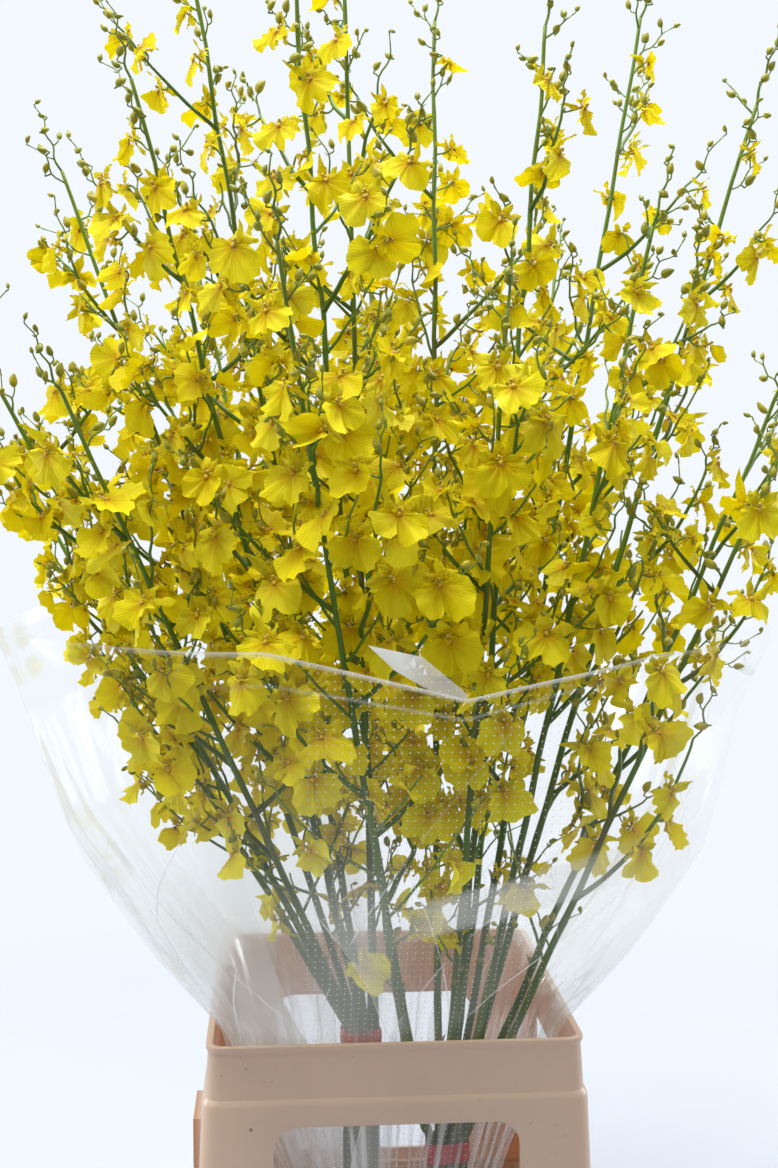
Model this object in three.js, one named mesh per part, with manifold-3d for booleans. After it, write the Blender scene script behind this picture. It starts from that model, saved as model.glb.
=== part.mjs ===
// A bunch of cut oncidium orchid sprays in a clear sleeve, standing in a square flower bucket with a
// windowed collar. Two bundles of stems stand in water, each held by a red band. Above the bands the stems
// fan out and branch, and the branches carry two-lobed yellow flowers and end in buds. Millimetres, +Z up,
// the origin at the middle of the bucket's underside, -Y towards the front.

import * as THREE from "three";
import { mergeVertices } from "three/addons/utils/BufferGeometryUtils.js";
import Module from "manifold-3d";

const wasm = await Module();
wasm.setup();

// ---------------------------------------------------------------- driving dimensions, in millimetres

const GAP = 0.3; // between pieces that touch
const WALL = 3; // of the bucket and the collar

// Squares are given by half their width. Their corners are round, with this radius on the outside.
const CORNER = 10;
const ARCS = 2; // flats to a round corner
const BUCKET = { bottom: 106, top: 121, height: 140, rim: 124.5, rimHigh: 4 };
const WATER_TOP = 96;
const COLLAR = {
  low: 128,
  lowHalf: 128.6,
  step: 294, // the rim ring starts here, a little further in
  stepHalf: 121.5,
  ringHalf: 119.3,
  high: 330,
  highHalf: 117.6,
  bead: 1.2,
  ledge: 119.5, // the ledge inside, which rests on the bucket's rim, reaches in to here
};
const WINDOW = { low: 152, high: 280, half: 77, corner: 15 }; // front and back
const HANDHOLE = { low: 250, high: 280, half: 77, corner: 5 }; // on both sides, over the grips
const GRIP = { low: 188, high: 245, half: 24, reach: 132.5 }; // a hollow lug on both sides

// The sleeve's half width at a few heights. It is square where it leans on the collar, and round above.
const SLEEVE = {
  thick: 0.8,
  profile: [
    [150, 62],
    [329, 113.4],
    [387, 158],
    [455, 205],
    [580, 257],
  ],
  dip: 24, // how far the top edge falls at the front
  sides: 16,
};

const BUNDLES = {
  right: { at: [42, -22], band: 226 },
  left: { at: [-14, 46], band: 280 },
};
const BAND = { high: 14, thick: 1.2 };
const STEM = { foot: WALL + GAP, low: 3.2, high: 1.7, pitch: 7.6, sides: 4 };
const BRANCH = { root: 0.9, low: 2.2, high: 1.6, sides: 3 };
const BUD = { long: 11, radius: 3 };
const STALK = { long: 14, radius: 3.2, sunk: 0.6 }; // from a branch, where it is thin, to a flower

// A flower, seen from the front: the tip of its sepals, the outer corners of the left lobe of its lip, and the
// notch between the lobes. Right, up and towards the front, from the middle of the flower. It is thickest at
// its hub and thins out to its edges.
const FLOWER = {
  tip: [0, 10, -1],
  upper: [-19.5, -2.5, 1.5],
  lower: [-14, -21, -1.5],
  notch: [0, -15, 1.5],
  hub: [0, -3],
  thick: 2.4,
};
// The balls of room that a flower takes up: its lobes, and the sepals over them.
const ROOM = [
  { at: [9.8, -10.5, 0], radius: 11.8 },
  { at: [-9.8, -10.5, 0], radius: 11.8 },
  { at: [0, 6, 0], radius: 8.5 },
];

// Each spray: the tip of its stem, how the stem gets there (under 1 it leans out early, over 1 late), the
// height of its lowest branch, how many branches it has, and the length of the lowest one.
const SPRAYS = {
  right: [
    { tip: [-62, -128, 975], bend: 0.66, first: 400, branches: 7, reach: 200 },
    { tip: [62, -150, 780], bend: 0.9, first: 400, branches: 5, reach: 160 },
    { tip: [150, -140, 830], bend: 0.95, first: 430, branches: 5, reach: 150 },
    { tip: [100, -62, 970], bend: 0.92, first: 470, branches: 6, reach: 160 },
    { tip: [238, -62, 925], bend: 1.05, first: 440, branches: 6, reach: 150 },
    { tip: [182, 24, 1004], bend: 0.98, first: 500, branches: 6, reach: 160 },
    { tip: [284, -22, 775], bend: 1.0, first: 400, branches: 5, reach: 150 },
    { tip: [226, -158, 700], bend: 1.0, first: 380, branches: 5, reach: 150 },
    { tip: [-72, -192, 810], bend: 0.9, first: 390, branches: 6, reach: 175 },
    { tip: [150, 172, 850], bend: 1.0, first: 430, branches: 5, reach: 165 },
    { tip: [40, 60, 1010], bend: 0.95, first: 520, branches: 6, reach: 160 },
  ],
  left: [
    { tip: [-28, -16, 1032], bend: 0.95, first: 540, branches: 7, reach: 150 },
    { tip: [-128, -20, 1020], bend: 1.0, first: 480, branches: 7, reach: 170 },
    { tip: [-158, -104, 920], bend: 1.0, first: 430, branches: 6, reach: 170 },
    { tip: [-218, 14, 890], bend: 1.05, first: 430, branches: 6, reach: 165 },
    { tip: [-276, -36, 780], bend: 1.05, first: 420, branches: 6, reach: 150 },
    { tip: [-262, 70, 690], bend: 1.0, first: 400, branches: 5, reach: 150 },
    { tip: [-196, -150, 730], bend: 1.0, first: 400, branches: 6, reach: 160 },
    { tip: [-136, 172, 852], bend: 1.0, first: 430, branches: 5, reach: 165 },
    { tip: [6, 218, 812], bend: 1.0, first: 430, branches: 5, reach: 155 },
  ],
};

// ---------------------------------------------------------------- numbers and vectors

const SEED = 7;
const TURN = Math.PI * (3 - Math.sqrt(5)); // the golden angle, from one branch to the next
const UP = [0, 0, 1];

// A number from 0 to 1 that depends on the keys alone.
function chance(...keys) {
  let h = SEED;
  for (const key of keys) {
    h = Math.imul(h ^ (key + 0x9e3779b9), 0x85ebca6b);
    h = Math.imul(h ^ (h >>> 13), 0xc2b2ae35);
    h ^= h >>> 16;
  }
  return (h >>> 0) / 4294967296;
}

const spread = (...keys) => 2 * chance(...keys) - 1;
const add = (a, b) => a.map((x, i) => x + b[i]);
const sub = (a, b) => a.map((x, i) => x - b[i]);
const times = (a, k) => a.map((x) => x * k);
const mix = (a, b, t) => a.map((x, i) => x + (b[i] - x) * t);
const dot = (a, b) => a.reduce((sum, x, i) => sum + x * b[i], 0);
const size = (a) => Math.sqrt(dot(a, a));
const unit = (a) => times(a, 1 / (size(a) || 1));
const cross = (a, b) => [
  a[1] * b[2] - a[2] * b[1],
  a[2] * b[0] - a[0] * b[2],
  a[0] * b[1] - a[1] * b[0],
];
const limit = (x, low, high) => Math.min(Math.max(x, low), high);
// A direction made of several, each with its weight.
const blend = (...pairs) => unit(pairs.map(([a, k]) => times(a, k)).reduce(add));

function nearest(p, a, b) {
  const along = sub(b, a);
  const square = dot(along, along);
  return add(a, times(along, square ? limit(dot(sub(p, a), along) / square, 0, 1) : 0));
}

// ---------------------------------------------------------------- where everything grows

function sleeveHalf(z) {
  const { profile } = SLEEVE;
  const over = profile.filter(([height]) => height <= z).length;
  const i = limit(over, 1, profile.length - 1);
  const [[z0, h0], [z1, h1]] = [profile[i - 1], profile[i]];
  return h0 + ((h1 - h0) * (limit(z, z0, z1) - z0)) / (z1 - z0);
}

// The sleeve's radius in the direction of an angle at height z.
function sleeveRadius(angle, z) {
  const above = limit((z - COLLAR.high) / 200, 0, 1);
  const power = z < COLLAR.high ? 8 - 4 * limit((COLLAR.high - z) / 100, 0, 1) : 8 - 5.8 * Math.sqrt(above);
  const c = Math.abs(Math.cos(angle)) ** power;
  const s = Math.abs(Math.sin(angle)) ** power;
  return sleeveHalf(z) / (c + s) ** (1 / power);
}

// The feet of a bundle. Each starts a little towards its tip, and they push each other one pitch apart.
function feet(bundle, sprays) {
  const middle = times(sprays.map((s) => s.tip.slice(0, 2)).reduce(add), 1 / sprays.length);
  const at = sprays.map((s) => times(sub(s.tip.slice(0, 2), middle), 0.05));
  for (let round = 0; round < 200; round++)
    for (let i = 0; i < at.length; i++)
      for (let j = 0; j < i; j++) {
        const apart = sub(at[i], at[j]);
        const short = STEM.pitch - size(apart);
        if (short <= 0) continue;
        const push = times(unit(apart), short / 2);
        at[i] = add(at[i], push);
        at[j] = sub(at[j], push);
      }
  return at.map((p) => add(p, bundle.at));
}

// The room that is taken: capsules with two ends and a radius, the number of the spray that holds each, and
// whether it belongs to a flower.
const taken = [];

// True if a ball at p is clear of the other sprays and of the flowers of its own, inside the sleeve and over
// the collar. A flower's ball also keeps off the sticks of its own spray by a share of its radius.
function clear(p, radius, owner, own = 0) {
  const top = SLEEVE.profile.at(-1)[0];
  if (p[2] < top + radius) {
    const room = sleeveRadius(Math.atan2(p[1], p[0]), Math.min(p[2], top));
    if (Math.hypot(p[0], p[1]) + 1.2 * radius + 3 > room) return false;
  }
  if (p[2] - radius < COLLAR.high + 8) return false;
  for (const t of taken) {
    const apart = radius + t.radius;
    const least = t.owner !== owner ? apart + 0.6 : t.flower ? 0.92 * apart : own * radius;
    if (size(sub(p, nearest(p, t.a, t.b))) < least) return false;
  }
  return true;
}

function take(points, radius, owner, flower) {
  for (let i = 1; i < points.length; i++)
    taken.push({ a: points[i - 1], b: points[i], radius, owner, flower });
}

// A point of a spray's stem. It stands straight up to its band, and leans towards its tip above it.
function stemPoint(spray, z) {
  const t = Math.max((z - spray.band) / (spray.tip[2] - spray.band), 0);
  return [...mix(spray.foot, spray.tip.slice(0, 2), t ** spray.bend), z];
}

const curvePoint = ([a, b, c], t) => mix(mix(a, b, t), mix(b, c, t), t);
const curveDirection = ([a, b, c], t) => unit(mix(sub(b, a), sub(c, b), t));

// The direction away from the middle of the bunch, leaning up.
function outward(p) {
  const far = Math.max(Math.hypot(p[0], p[1]), 60);
  return unit([p[0] / far, p[1] / far, 0.35]);
}

// A side branch, as a curve of three points. It is left out if no pose of it is clear.
function growBranch(spray, k) {
  const share = (k + 0.5 + 0.3 * spread(spray.id, k, 90)) / spray.branches;
  const root = stemPoint(spray, spray.first + (spray.tip[2] - 75 - spray.first) * share);
  for (let attempt = 0; attempt < 24; attempt++) {
    const r = (n) => spread(spray.id, k, 100 + attempt, n);
    const angle = spray.id * 1.7 + k * TURN + (0.3 + 0.12 * attempt) * r(1);
    const out = outward(root);
    const flat = unit([Math.cos(angle) + 0.6 * out[0], Math.sin(angle) + 0.6 * out[1], 0]);
    const reach = spray.reach * (1 - 0.55 * share) * (0.95 + 0.15 * r(2)) * (1 - 0.03 * attempt);
    const step = (rise) => times([...times(flat, Math.cos(rise)).slice(0, 2), Math.sin(rise)], reach / 2);
    const knee = add(root, step(0.62 + 0.16 * r(3) + 0.015 * attempt));
    const curve = [root, knee, add(knee, step(1.08 + 0.22 * r(4)))];
    const checks = Math.ceil(reach / 7);
    let fits = true;
    for (let i = 2; i <= checks + 2 && fits; i++)
      fits = clear(curvePoint(curve, i / checks), i < 4 ? 2.8 : 4, spray.id);
    if (!fits) continue;
    take(
      [0, 1 / 3, 2 / 3, 1.08].map((t) => curvePoint(curve, t)),
      BRANCH.low + 0.6,
      spray.id,
      false,
    );
    return { curve, reach, k };
  }
  return null;
}

const flowerPoint = (f, [right, up, front]) =>
  add(add(f.middle, times(f.right, right)), add(times(f.up, up), times(f.front, front)));

// A flower at a node of a branch, or of a stem near its tip. It is left out if no pose of it is clear.
function growFlower(owner, key, node, along, side) {
  for (let attempt = 0; attempt < 16; attempt++) {
    const r = (n) => spread(owner, key, attempt, n);
    const out = outward(node);
    const across = unit(cross(along, blend([out, 1], [[r(1), r(2), r(3)], 0.25])));
    const stalk = blend([across, 0.9 * side], [out, 0.65 + 0.35 * r(4)], [UP, 0.1 + 0.5 * r(5)]);
    const front = blend([out, 1], [stalk, 0.35], [[r(6), r(7), r(8)], 0.5 + 0.05 * attempt]);
    const upright = add(UP, times([r(9), r(10), r(11)], 0.55));
    const up = unit(sub(upright, times(front, dot(upright, front))));
    if (dot(front, stalk) < 0.4) continue; // the stalk comes from behind
    const middle = add(node, times(stalk, STALK.long));
    const flower = { node, middle, front, up, right: cross(up, front), key };
    const balls = ROOM.map(({ at, radius }) => ({ p: flowerPoint(flower, at), radius }));
    for (const t of [0.35, 0.7]) balls.push({ p: mix(node, middle, t), radius: 1.8 });
    if (!balls.every((b) => clear(b.p, b.radius, owner, b.radius > 5 ? 0.75 : 0))) continue;
    for (const { p, radius } of balls.slice(0, ROOM.length)) take([p, p], radius, owner, true);
    take([node, middle], 1.4, owner, false);
    return flower;
  }
  return null;
}

// All the sprays, with their branches and flowers. The flowers come in rounds, one for each branch at a time,
// so that no spray crowds out the next.
function growBunch() {
  const sprays = [];
  for (const [name, bundle] of Object.entries(BUNDLES)) {
    const at = feet(bundle, SPRAYS[name]);
    SPRAYS[name].forEach((s, i) =>
      sprays.push({ ...s, id: sprays.length, bundle: name, band: bundle.band, foot: at[i], flowers: [] }),
    );
  }
  for (const s of sprays) {
    const line = [];
    for (let i = 0; i <= 24; i++) line.push(stemPoint(s, s.band + ((s.tip[2] - s.band) * i) / 24));
    take(line, STEM.low, s.id, false);
  }
  for (let k = 0; k < 8; k++)
    for (const s of sprays) {
      if (k === 0) s.twigs = [];
      const twig = k < s.branches && growBranch(s, k);
      if (twig) s.twigs.push(twig);
    }
  for (let j = 0; j < 7; j++)
    for (const s of sprays) {
      for (const { curve, reach, k } of s.twigs) {
        const nodes = limit(Math.round(reach / 25), 3, 6);
        if (j >= nodes) continue;
        const t = 0.96 - (0.68 * j) / (nodes - 1);
        const flower = growFlower(
          s.id,
          10 * (k + 1) + j,
          curvePoint(curve, t),
          curveDirection(curve, t),
          (j + k) % 2 ? 1 : -1,
        );
        if (flower) s.flowers.push({ ...flower, branch: k });
      }
      if (j > 3) continue;
      const z = s.tip[2] - 40 - 28 * j;
      const node = stemPoint(s, z);
      const flower = growFlower(s.id, 500 + j, node, unit(sub(stemPoint(s, z + 5), node)), j % 2 ? 1 : -1);
      if (flower) s.flowers.push({ ...flower, branch: -1 });
    }
  return sprays;
}

// ---------------------------------------------------------------- solids

// A three.js geometry as a solid.
function solidOf(geometry) {
  geometry.deleteAttribute("normal");
  geometry.deleteAttribute("uv");
  const merged = mergeVertices(geometry, 1e-4);
  return new wasm.Manifold(
    new wasm.Mesh({
      numProp: 3,
      vertProperties: merged.attributes.position.array,
      triVerts: new Uint32Array(merged.index.array),
    }),
  );
}

// A closed surface of points and triangles as a solid, turned so that its faces point out.
function solidFrom(points, faces) {
  const make = (index) => {
    const geometry = new THREE.BufferGeometry();
    geometry.setAttribute("position", new THREE.Float32BufferAttribute(points.flat(), 3));
    geometry.setIndex(index.flat());
    return solidOf(geometry);
  };
  const made = make(faces);
  return made.volume() > 0 ? made : make(faces.map(([a, b, c]) => [a, c, b]));
}

// Rings of points, each joined to the next. The ends are closed flat, or run to an apex if one is given.
function loft(rings, apex) {
  const n = rings[0].length;
  const points = rings.flat();
  const faces = [];
  for (let r = 1; r < rings.length; r++)
    for (let i = 0; i < n; i++) {
      const [a, b] = [(r - 1) * n + i, (r - 1) * n + ((i + 1) % n)];
      faces.push([a, b, b + n], [a, b + n, a + n]);
    }
  const top = (rings.length - 1) * n;
  for (let i = 1; i < n - 1; i++) faces.push([0, i + 1, i]);
  if (apex) points.push(apex);
  for (let i = 0; i < n; i++)
    if (apex) faces.push([top + i, top + ((i + 1) % n), points.length - 1]);
    else if (i > 0 && i < n - 1) faces.push([top, top + i, top + i + 1]);
  return solidFrom(points, faces);
}

// A stick along a line of points, with a radius for each but the last, where it ends in a point.
function stick(line, radii, sides) {
  let side = [0.93, 0.31, 0.19];
  const rings = radii.map((radius, i) => {
    const along = unit(sub(line[i + 1], line[Math.max(i - 1, 0)]));
    side = unit(sub(side, times(along, dot(side, along))));
    const other = cross(along, side);
    return Array.from({ length: sides }, (_, k) => {
      const a = (2 * Math.PI * k) / sides;
      return add(line[i], add(times(side, radius * Math.cos(a)), times(other, radius * Math.sin(a))));
    });
  });
  return loft(rings, line.at(-1));
}

// A square with round corners at height z.
function squareRing(z, half, radius) {
  const points = [];
  const flat = half - radius;
  for (let corner = 0; corner < 4; corner++)
    for (let i = 0; i <= ARCS; i++) {
      const a = (Math.PI / 2) * (corner + i / ARCS);
      const [x, y] = [corner === 0 || corner === 3 ? flat : -flat, corner < 2 ? flat : -flat];
      points.push([x + radius * Math.cos(a), y + radius * Math.sin(a), z]);
    }
  return points;
}

const squareLoft = (profile, radius = CORNER) =>
  loft(profile.map(([z, half]) => squareRing(z, half, radius)));

function block([x0, y0, z0], [x1, y1, z1]) {
  const geometry = new THREE.BoxGeometry(x1 - x0, y1 - y0, z1 - z0);
  return solidOf(geometry.translate((x0 + x1) / 2, (y0 + y1) / 2, (z0 + z1) / 2));
}

// A prism right through the collar, front to back or side to side, with round corners.
function windowCut({ low, high, half, corner }, sideways) {
  const shape = new THREE.Shape();
  shape.moveTo(-half, low + corner);
  shape.absarc(-half + corner, high - corner, corner, Math.PI, Math.PI / 2, true);
  shape.absarc(half - corner, high - corner, corner, Math.PI / 2, 0, true);
  shape.absarc(half - corner, low + corner, corner, 0, -Math.PI / 2, true);
  shape.absarc(-half + corner, low + corner, corner, -Math.PI / 2, -Math.PI, true);
  const geometry = new THREE.ExtrudeGeometry(shape, { depth: 400, bevelEnabled: false, curveSegments: 2 });
  geometry.translate(0, 0, -200).rotateX(Math.PI / 2);
  return solidOf(sideways ? geometry.rotateZ(Math.PI / 2) : geometry);
}

const join = (solids) => solids.reduce((sum, s) => sum.add(s));

// The outermost body, without the hollows that crossing petals close off.
function filled(solid) {
  return solid.decompose().reduce((most, body) => (body.volume() > most.volume() ? body : most));
}

// ---------------------------------------------------------------- container

function makeBucket() {
  const { bottom, top, height, rim, rimHigh } = BUCKET;
  const outer = squareLoft([
    [0, bottom],
    [height - rimHigh, top],
    [height - rimHigh, rim],
    [height, rim],
  ]);
  const inner = [
    [WALL, bottom - WALL],
    [height + 1, top - WALL],
  ];
  return outer.subtract(squareLoft(inner, CORNER - WALL));
}

function makeCollar() {
  const c = COLLAR;
  const lap = BUCKET.height + GAP; // the underside of the ledge
  const wallAt = (z) => c.lowHalf + ((c.stepHalf - c.lowHalf) * (z - c.low)) / (c.step - c.low);
  const outer = squareLoft([
    [c.low, c.lowHalf],
    [c.step, c.stepHalf],
    [c.step + 3, c.ringHalf],
    [c.high - 4, c.highHalf],
    [c.high - 3, c.highHalf + c.bead],
    [c.high, c.highHalf + c.bead],
  ]);
  const hollow = [
    [c.low - 1, wallAt(c.low) - WALL],
    [lap, wallAt(lap) - WALL],
    [lap, c.ledge],
    [lap + WALL, c.ledge],
    [lap + WALL, wallAt(lap + WALL) - WALL],
    [c.step, c.stepHalf - WALL],
    [c.step + 3, c.ringHalf - WALL],
    [c.high + 1, c.highHalf - WALL],
  ];
  const inner = squareLoft(hollow, CORNER - WALL);
  let solid = outer;
  for (const side of [-1, 1]) {
    const ends = (a, b) => [Math.min(side * a, side * b), Math.max(side * a, side * b)];
    const [near, far] = ends(100, GRIP.reach);
    const [hollowNear, hollowFar] = ends(wallAt(GRIP.low), GRIP.reach - WALL);
    solid = solid
      .add(block([near, -GRIP.half, GRIP.low], [far, GRIP.half, GRIP.high]))
      .subtract(
        block(
          [hollowNear, WALL - GRIP.half, GRIP.low - 1],
          [hollowFar, GRIP.half - WALL, GRIP.high - WALL],
        ),
      );
  }
  return solid.subtract(inner).subtract(windowCut(WINDOW, false)).subtract(windowCut(HANDHOLE, true));
}

function makeWater(sprays) {
  const { bottom, top, height, rimHigh } = BUCKET;
  const innerAt = (z) => bottom - WALL + ((top - bottom) * (z - WALL)) / (height + 1 - WALL) - 2 * GAP;
  const levels = [WALL + GAP, WATER_TOP].map((z) => [z, innerAt(z)]);
  let water = squareLoft(levels, CORNER - WALL);
  for (const s of sprays) {
    const around = STEM.low + GAP / Math.cos(Math.PI / STEM.sides);
    const line = [0, WATER_TOP + 1, WATER_TOP + 2].map((z) => [...s.foot, z]);
    water = water.subtract(stick(line, [around, around], STEM.sides));
  }
  return water;
}

// The convex outline round a set of flat points.
function hull(points) {
  const sorted = [...points].sort((a, b) => a[0] - b[0] || a[1] - b[1]);
  const chain = (list) => {
    const kept = [];
    for (const p of list) {
      while (kept.length > 1) {
        const [a, b] = kept.slice(-2);
        if ((b[0] - a[0]) * (p[1] - a[1]) - (b[1] - a[1]) * (p[0] - a[0]) > 0) break;
        kept.pop();
      }
      kept.push(p);
    }
    return kept.slice(0, -1);
  };
  return [...chain(sorted), ...chain([...sorted].reverse())];
}

// A band round the stems of a bundle.
function makeBand(bundle, sprays) {
  const around = (radius) =>
    hull(
      sprays.flatMap(({ foot }) =>
        Array.from({ length: 6 }, (_, i) => {
          const a = (Math.PI / 3) * i;
          const r = radius / Math.cos(Math.PI / 6);
          return [foot[0] + r * Math.cos(a), foot[1] + r * Math.sin(a)];
        }),
      ),
    );
  const slab = (radius, low, high) =>
    loft([low, high].map((z) => around(radius).map((p) => [...p, z])));
  const inside = STEM.low + GAP;
  return slab(inside + BAND.thick, bundle.band - BAND.high, bundle.band).subtract(
    slab(inside, bundle.band - BAND.high - 1, bundle.band + 1),
  );
}

function makeSleeve() {
  const { profile, thick, dip, sides } = SLEEVE;
  const top = profile.at(-1)[0];
  const rings = (inset, low, high) =>
    profile.map(([z], i) =>
      Array.from({ length: sides }, (_, k) => {
        const a = (2 * Math.PI * k) / sides;
        const front = Math.max(1 - Math.abs(a - 1.5 * Math.PI) / 0.5, 0);
        const height = i === 0 ? z - low : z === top ? z - dip * front + high : z;
        const r = sleeveRadius(a, height) - inset;
        return [r * Math.cos(a), r * Math.sin(a), height];
      }),
    );
  const outer = rings(0, 0, 0);
  const inner = rings(thick, 0, 0);
  const n = sides;
  const last = profile.length - 1;
  const points = [...outer.flat(), ...inner.flat()];
  const faces = [];
  // Both walls are split along the same diagonals, so they stay one thickness apart.
  const band = (a, b, inwards = false) => {
    for (let i = 0; i < n; i++) {
      const j = (i + 1) % n;
      const split = [
        [a + i, a + j, b + j],
        [a + i, b + j, b + i],
      ];
      faces.push(...(inwards ? split.map((face) => face.reverse()) : split));
    }
  };
  const inside = outer.length * n;
  for (let r = 0; r < last; r++) {
    band(r * n, (r + 1) * n);
    band(inside + r * n, inside + (r + 1) * n, true);
  }
  band(last * n, inside + last * n);
  band(inside, 0);
  return solidFrom(points, faces);
}

// ---------------------------------------------------------------- sprays

// The point of a stick's line that is nearest to p.
function onLine(line, p) {
  const spots = line.slice(1).map((b, i) => nearest(p, line[i], b));
  return spots.reduce((best, q) => (size(sub(q, p)) < size(sub(best, p)) ? q : best));
}

function stemLine(spray) {
  const rise = spray.tip[2] - spray.band;
  const shares = spray.bend < 0.8 ? [0.05, 0.16, 0.35, 0.62, 1] : [0.3, 0.6, 1];
  const heights = [STEM.foot, spray.band, ...shares.map((share) => spray.band + rise * share)];
  return heights.map((z) => stemPoint(spray, z));
}

// A line of points as a stick that swells into a bud at its end.
function stickWithBud(line, radii, sides) {
  const end = unit(sub(line.at(-1), line.at(-2)));
  const bud = [0.4, 1].map((share) => add(line.at(-1), times(end, BUD.long * share)));
  return stick([...line, ...bud], [...radii, BUD.radius], sides);
}

function makeStem(spray, line) {
  const radii = line.map(([, , z]) => {
    const t = limit((z - spray.band) / (spray.tip[2] - spray.band), 0, 1);
    return STEM.low + (STEM.high - STEM.low) * t;
  });
  return stickWithBud(line, radii, STEM.sides);
}

// A flower, with its stalk as a slim cone that starts inside its branch. Its corners are joined to a point in
// front of its hub, and to a ring behind it where the stalk ends.
function makeFlower(flower, line) {
  const { tip, upper, lower, notch, hub, thick } = FLOWER;
  const right = ([x, y, z]) => [-x, y, z];
  const corners = [tip, upper, lower, notch, right(lower), right(upper)];
  const ring = [0, 1, 2].map((i) => {
    const a = (2 * Math.PI * i) / 3;
    return [-STALK.radius * Math.sin(a), hub[1] + STALK.radius * Math.cos(a), -thick / 2];
  });
  const shell = [...corners, [...hub, thick / 2], ...ring].map((p) => flowerPoint(flower, p));
  const axis = onLine(line, flower.node);
  const along = unit(sub(flowerPoint(flower, [...hub, -thick / 2]), axis));
  const points = [...shell, sub(axis, times(along, STALK.sunk))];
  const faces = [
    ...corners.map((_, i) => [i, (i + 1) % 6, 6]),
    ...[[1, 0, 7], [1, 7, 8], [2, 1, 8], [3, 2, 8], [3, 8, 9], [4, 3, 9], [5, 4, 9], [5, 9, 7], [0, 5, 7]],
    ...[[10, 8, 7], [10, 9, 8], [10, 7, 9]],
  ];
  return solidFrom(points, faces);
}

function makeSpray(spray) {
  const stem = stemLine(spray);
  const lines = new Map([[-1, stem]]);
  const pieces = [makeStem(spray, stem)];
  for (const { curve, k } of spray.twigs) {
    const line = [onLine(stem, curve[0]), curvePoint(curve, 0.5), curve[2]];
    lines.set(k, line);
    const radii = [BRANCH.root, BRANCH.low, BRANCH.high];
    const ending = add(line[2], times(curveDirection(curve, 1), BUD.long));
    pieces.push(k % 2 ? stick([...line, ending], radii, BRANCH.sides) : stickWithBud(line, radii, BRANCH.sides));
  }
  for (const flower of spray.flowers) pieces.push(makeFlower(flower, lines.get(flower.branch)));
  return filled(join(pieces));
}

// ---------------------------------------------------------------- the bunch

const part = new THREE.Group();

function keep(name, solid, looks) {
  const { vertProperties, triVerts, numProp } = solid.getMesh();
  const positions = new Float32Array((vertProperties.length / numProp) * 3);
  for (let i = 0; i < positions.length / 3; i++)
    positions.set(vertProperties.subarray(i * numProp, i * numProp + 3), i * 3);
  const geometry = new THREE.BufferGeometry();
  geometry.setAttribute("position", new THREE.BufferAttribute(positions, 3));
  geometry.setIndex(new THREE.BufferAttribute(triVerts, 1));
  const flat = geometry.toNonIndexed();
  flat.computeVertexNormals();
  const mesh = new THREE.Mesh(flat, new THREE.MeshStandardMaterial({ metalness: 0, ...looks }));
  mesh.name = name;
  part.add(mesh);
}

const TAN = { color: 0xb09a86, roughness: 0.42 };
const sprays = growBunch();

keep("bucket", makeBucket(), TAN);
keep("collar", makeCollar(), TAN);
keep("water", makeWater(sprays), { color: 0xdfe8e6, roughness: 0.05, transparent: true, opacity: 0.45 });
for (const [name, bundle] of Object.entries(BUNDLES))
  keep(`band_${name}`, makeBand(bundle, sprays.filter((s) => s.bundle === name)), {
    color: 0xb3202c,
    roughness: 0.5,
  });
keep("sleeve", makeSleeve(), { color: 0xf2f5f8, roughness: 0.12, transparent: true, opacity: 0.2 });
for (const s of sprays)
  keep(`spray_${String(s.id + 1).padStart(2, "0")}`, makeSpray(s), { color: 0xe6c70c, roughness: 0.5 });

export default part;
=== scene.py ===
"""A bunch of cut oncidium sprays in a clear sleeve and a flower bucket: shapes in detail and materials.

Everything grows on the same stems, branches and flower places as in the solids. Lengths are millimetres
until a piece becomes a mesh, in metres.
"""

from math import atan2, ceil, cos, floor, hypot, pi, radians, sin, sqrt, tau

import bmesh
import bpy
import numpy as np
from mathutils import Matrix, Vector


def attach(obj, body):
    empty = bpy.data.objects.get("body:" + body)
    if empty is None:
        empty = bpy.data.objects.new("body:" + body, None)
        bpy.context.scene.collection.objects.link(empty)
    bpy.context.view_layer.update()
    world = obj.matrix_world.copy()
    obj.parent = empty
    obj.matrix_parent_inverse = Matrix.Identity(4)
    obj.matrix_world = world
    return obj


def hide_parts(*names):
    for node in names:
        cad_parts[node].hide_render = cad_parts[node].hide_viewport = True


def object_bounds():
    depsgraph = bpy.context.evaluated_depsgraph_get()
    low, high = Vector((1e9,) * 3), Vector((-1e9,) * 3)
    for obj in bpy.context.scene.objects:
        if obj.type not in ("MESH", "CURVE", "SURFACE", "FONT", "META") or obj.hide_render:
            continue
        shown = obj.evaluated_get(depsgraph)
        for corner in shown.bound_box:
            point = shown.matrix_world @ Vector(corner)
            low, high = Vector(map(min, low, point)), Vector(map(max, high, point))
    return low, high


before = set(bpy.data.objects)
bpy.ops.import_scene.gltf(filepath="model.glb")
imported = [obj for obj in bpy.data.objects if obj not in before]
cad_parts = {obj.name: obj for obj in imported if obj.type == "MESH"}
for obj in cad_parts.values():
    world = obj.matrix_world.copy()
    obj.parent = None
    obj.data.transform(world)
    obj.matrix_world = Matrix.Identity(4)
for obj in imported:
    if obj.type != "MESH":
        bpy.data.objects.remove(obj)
CAD_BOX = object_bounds()
MM = 0.001
LOW, HIGH = (np.array(corner) / MM for corner in CAD_BOX)

# ---- the bunch's own dimensions, as in the solids

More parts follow.
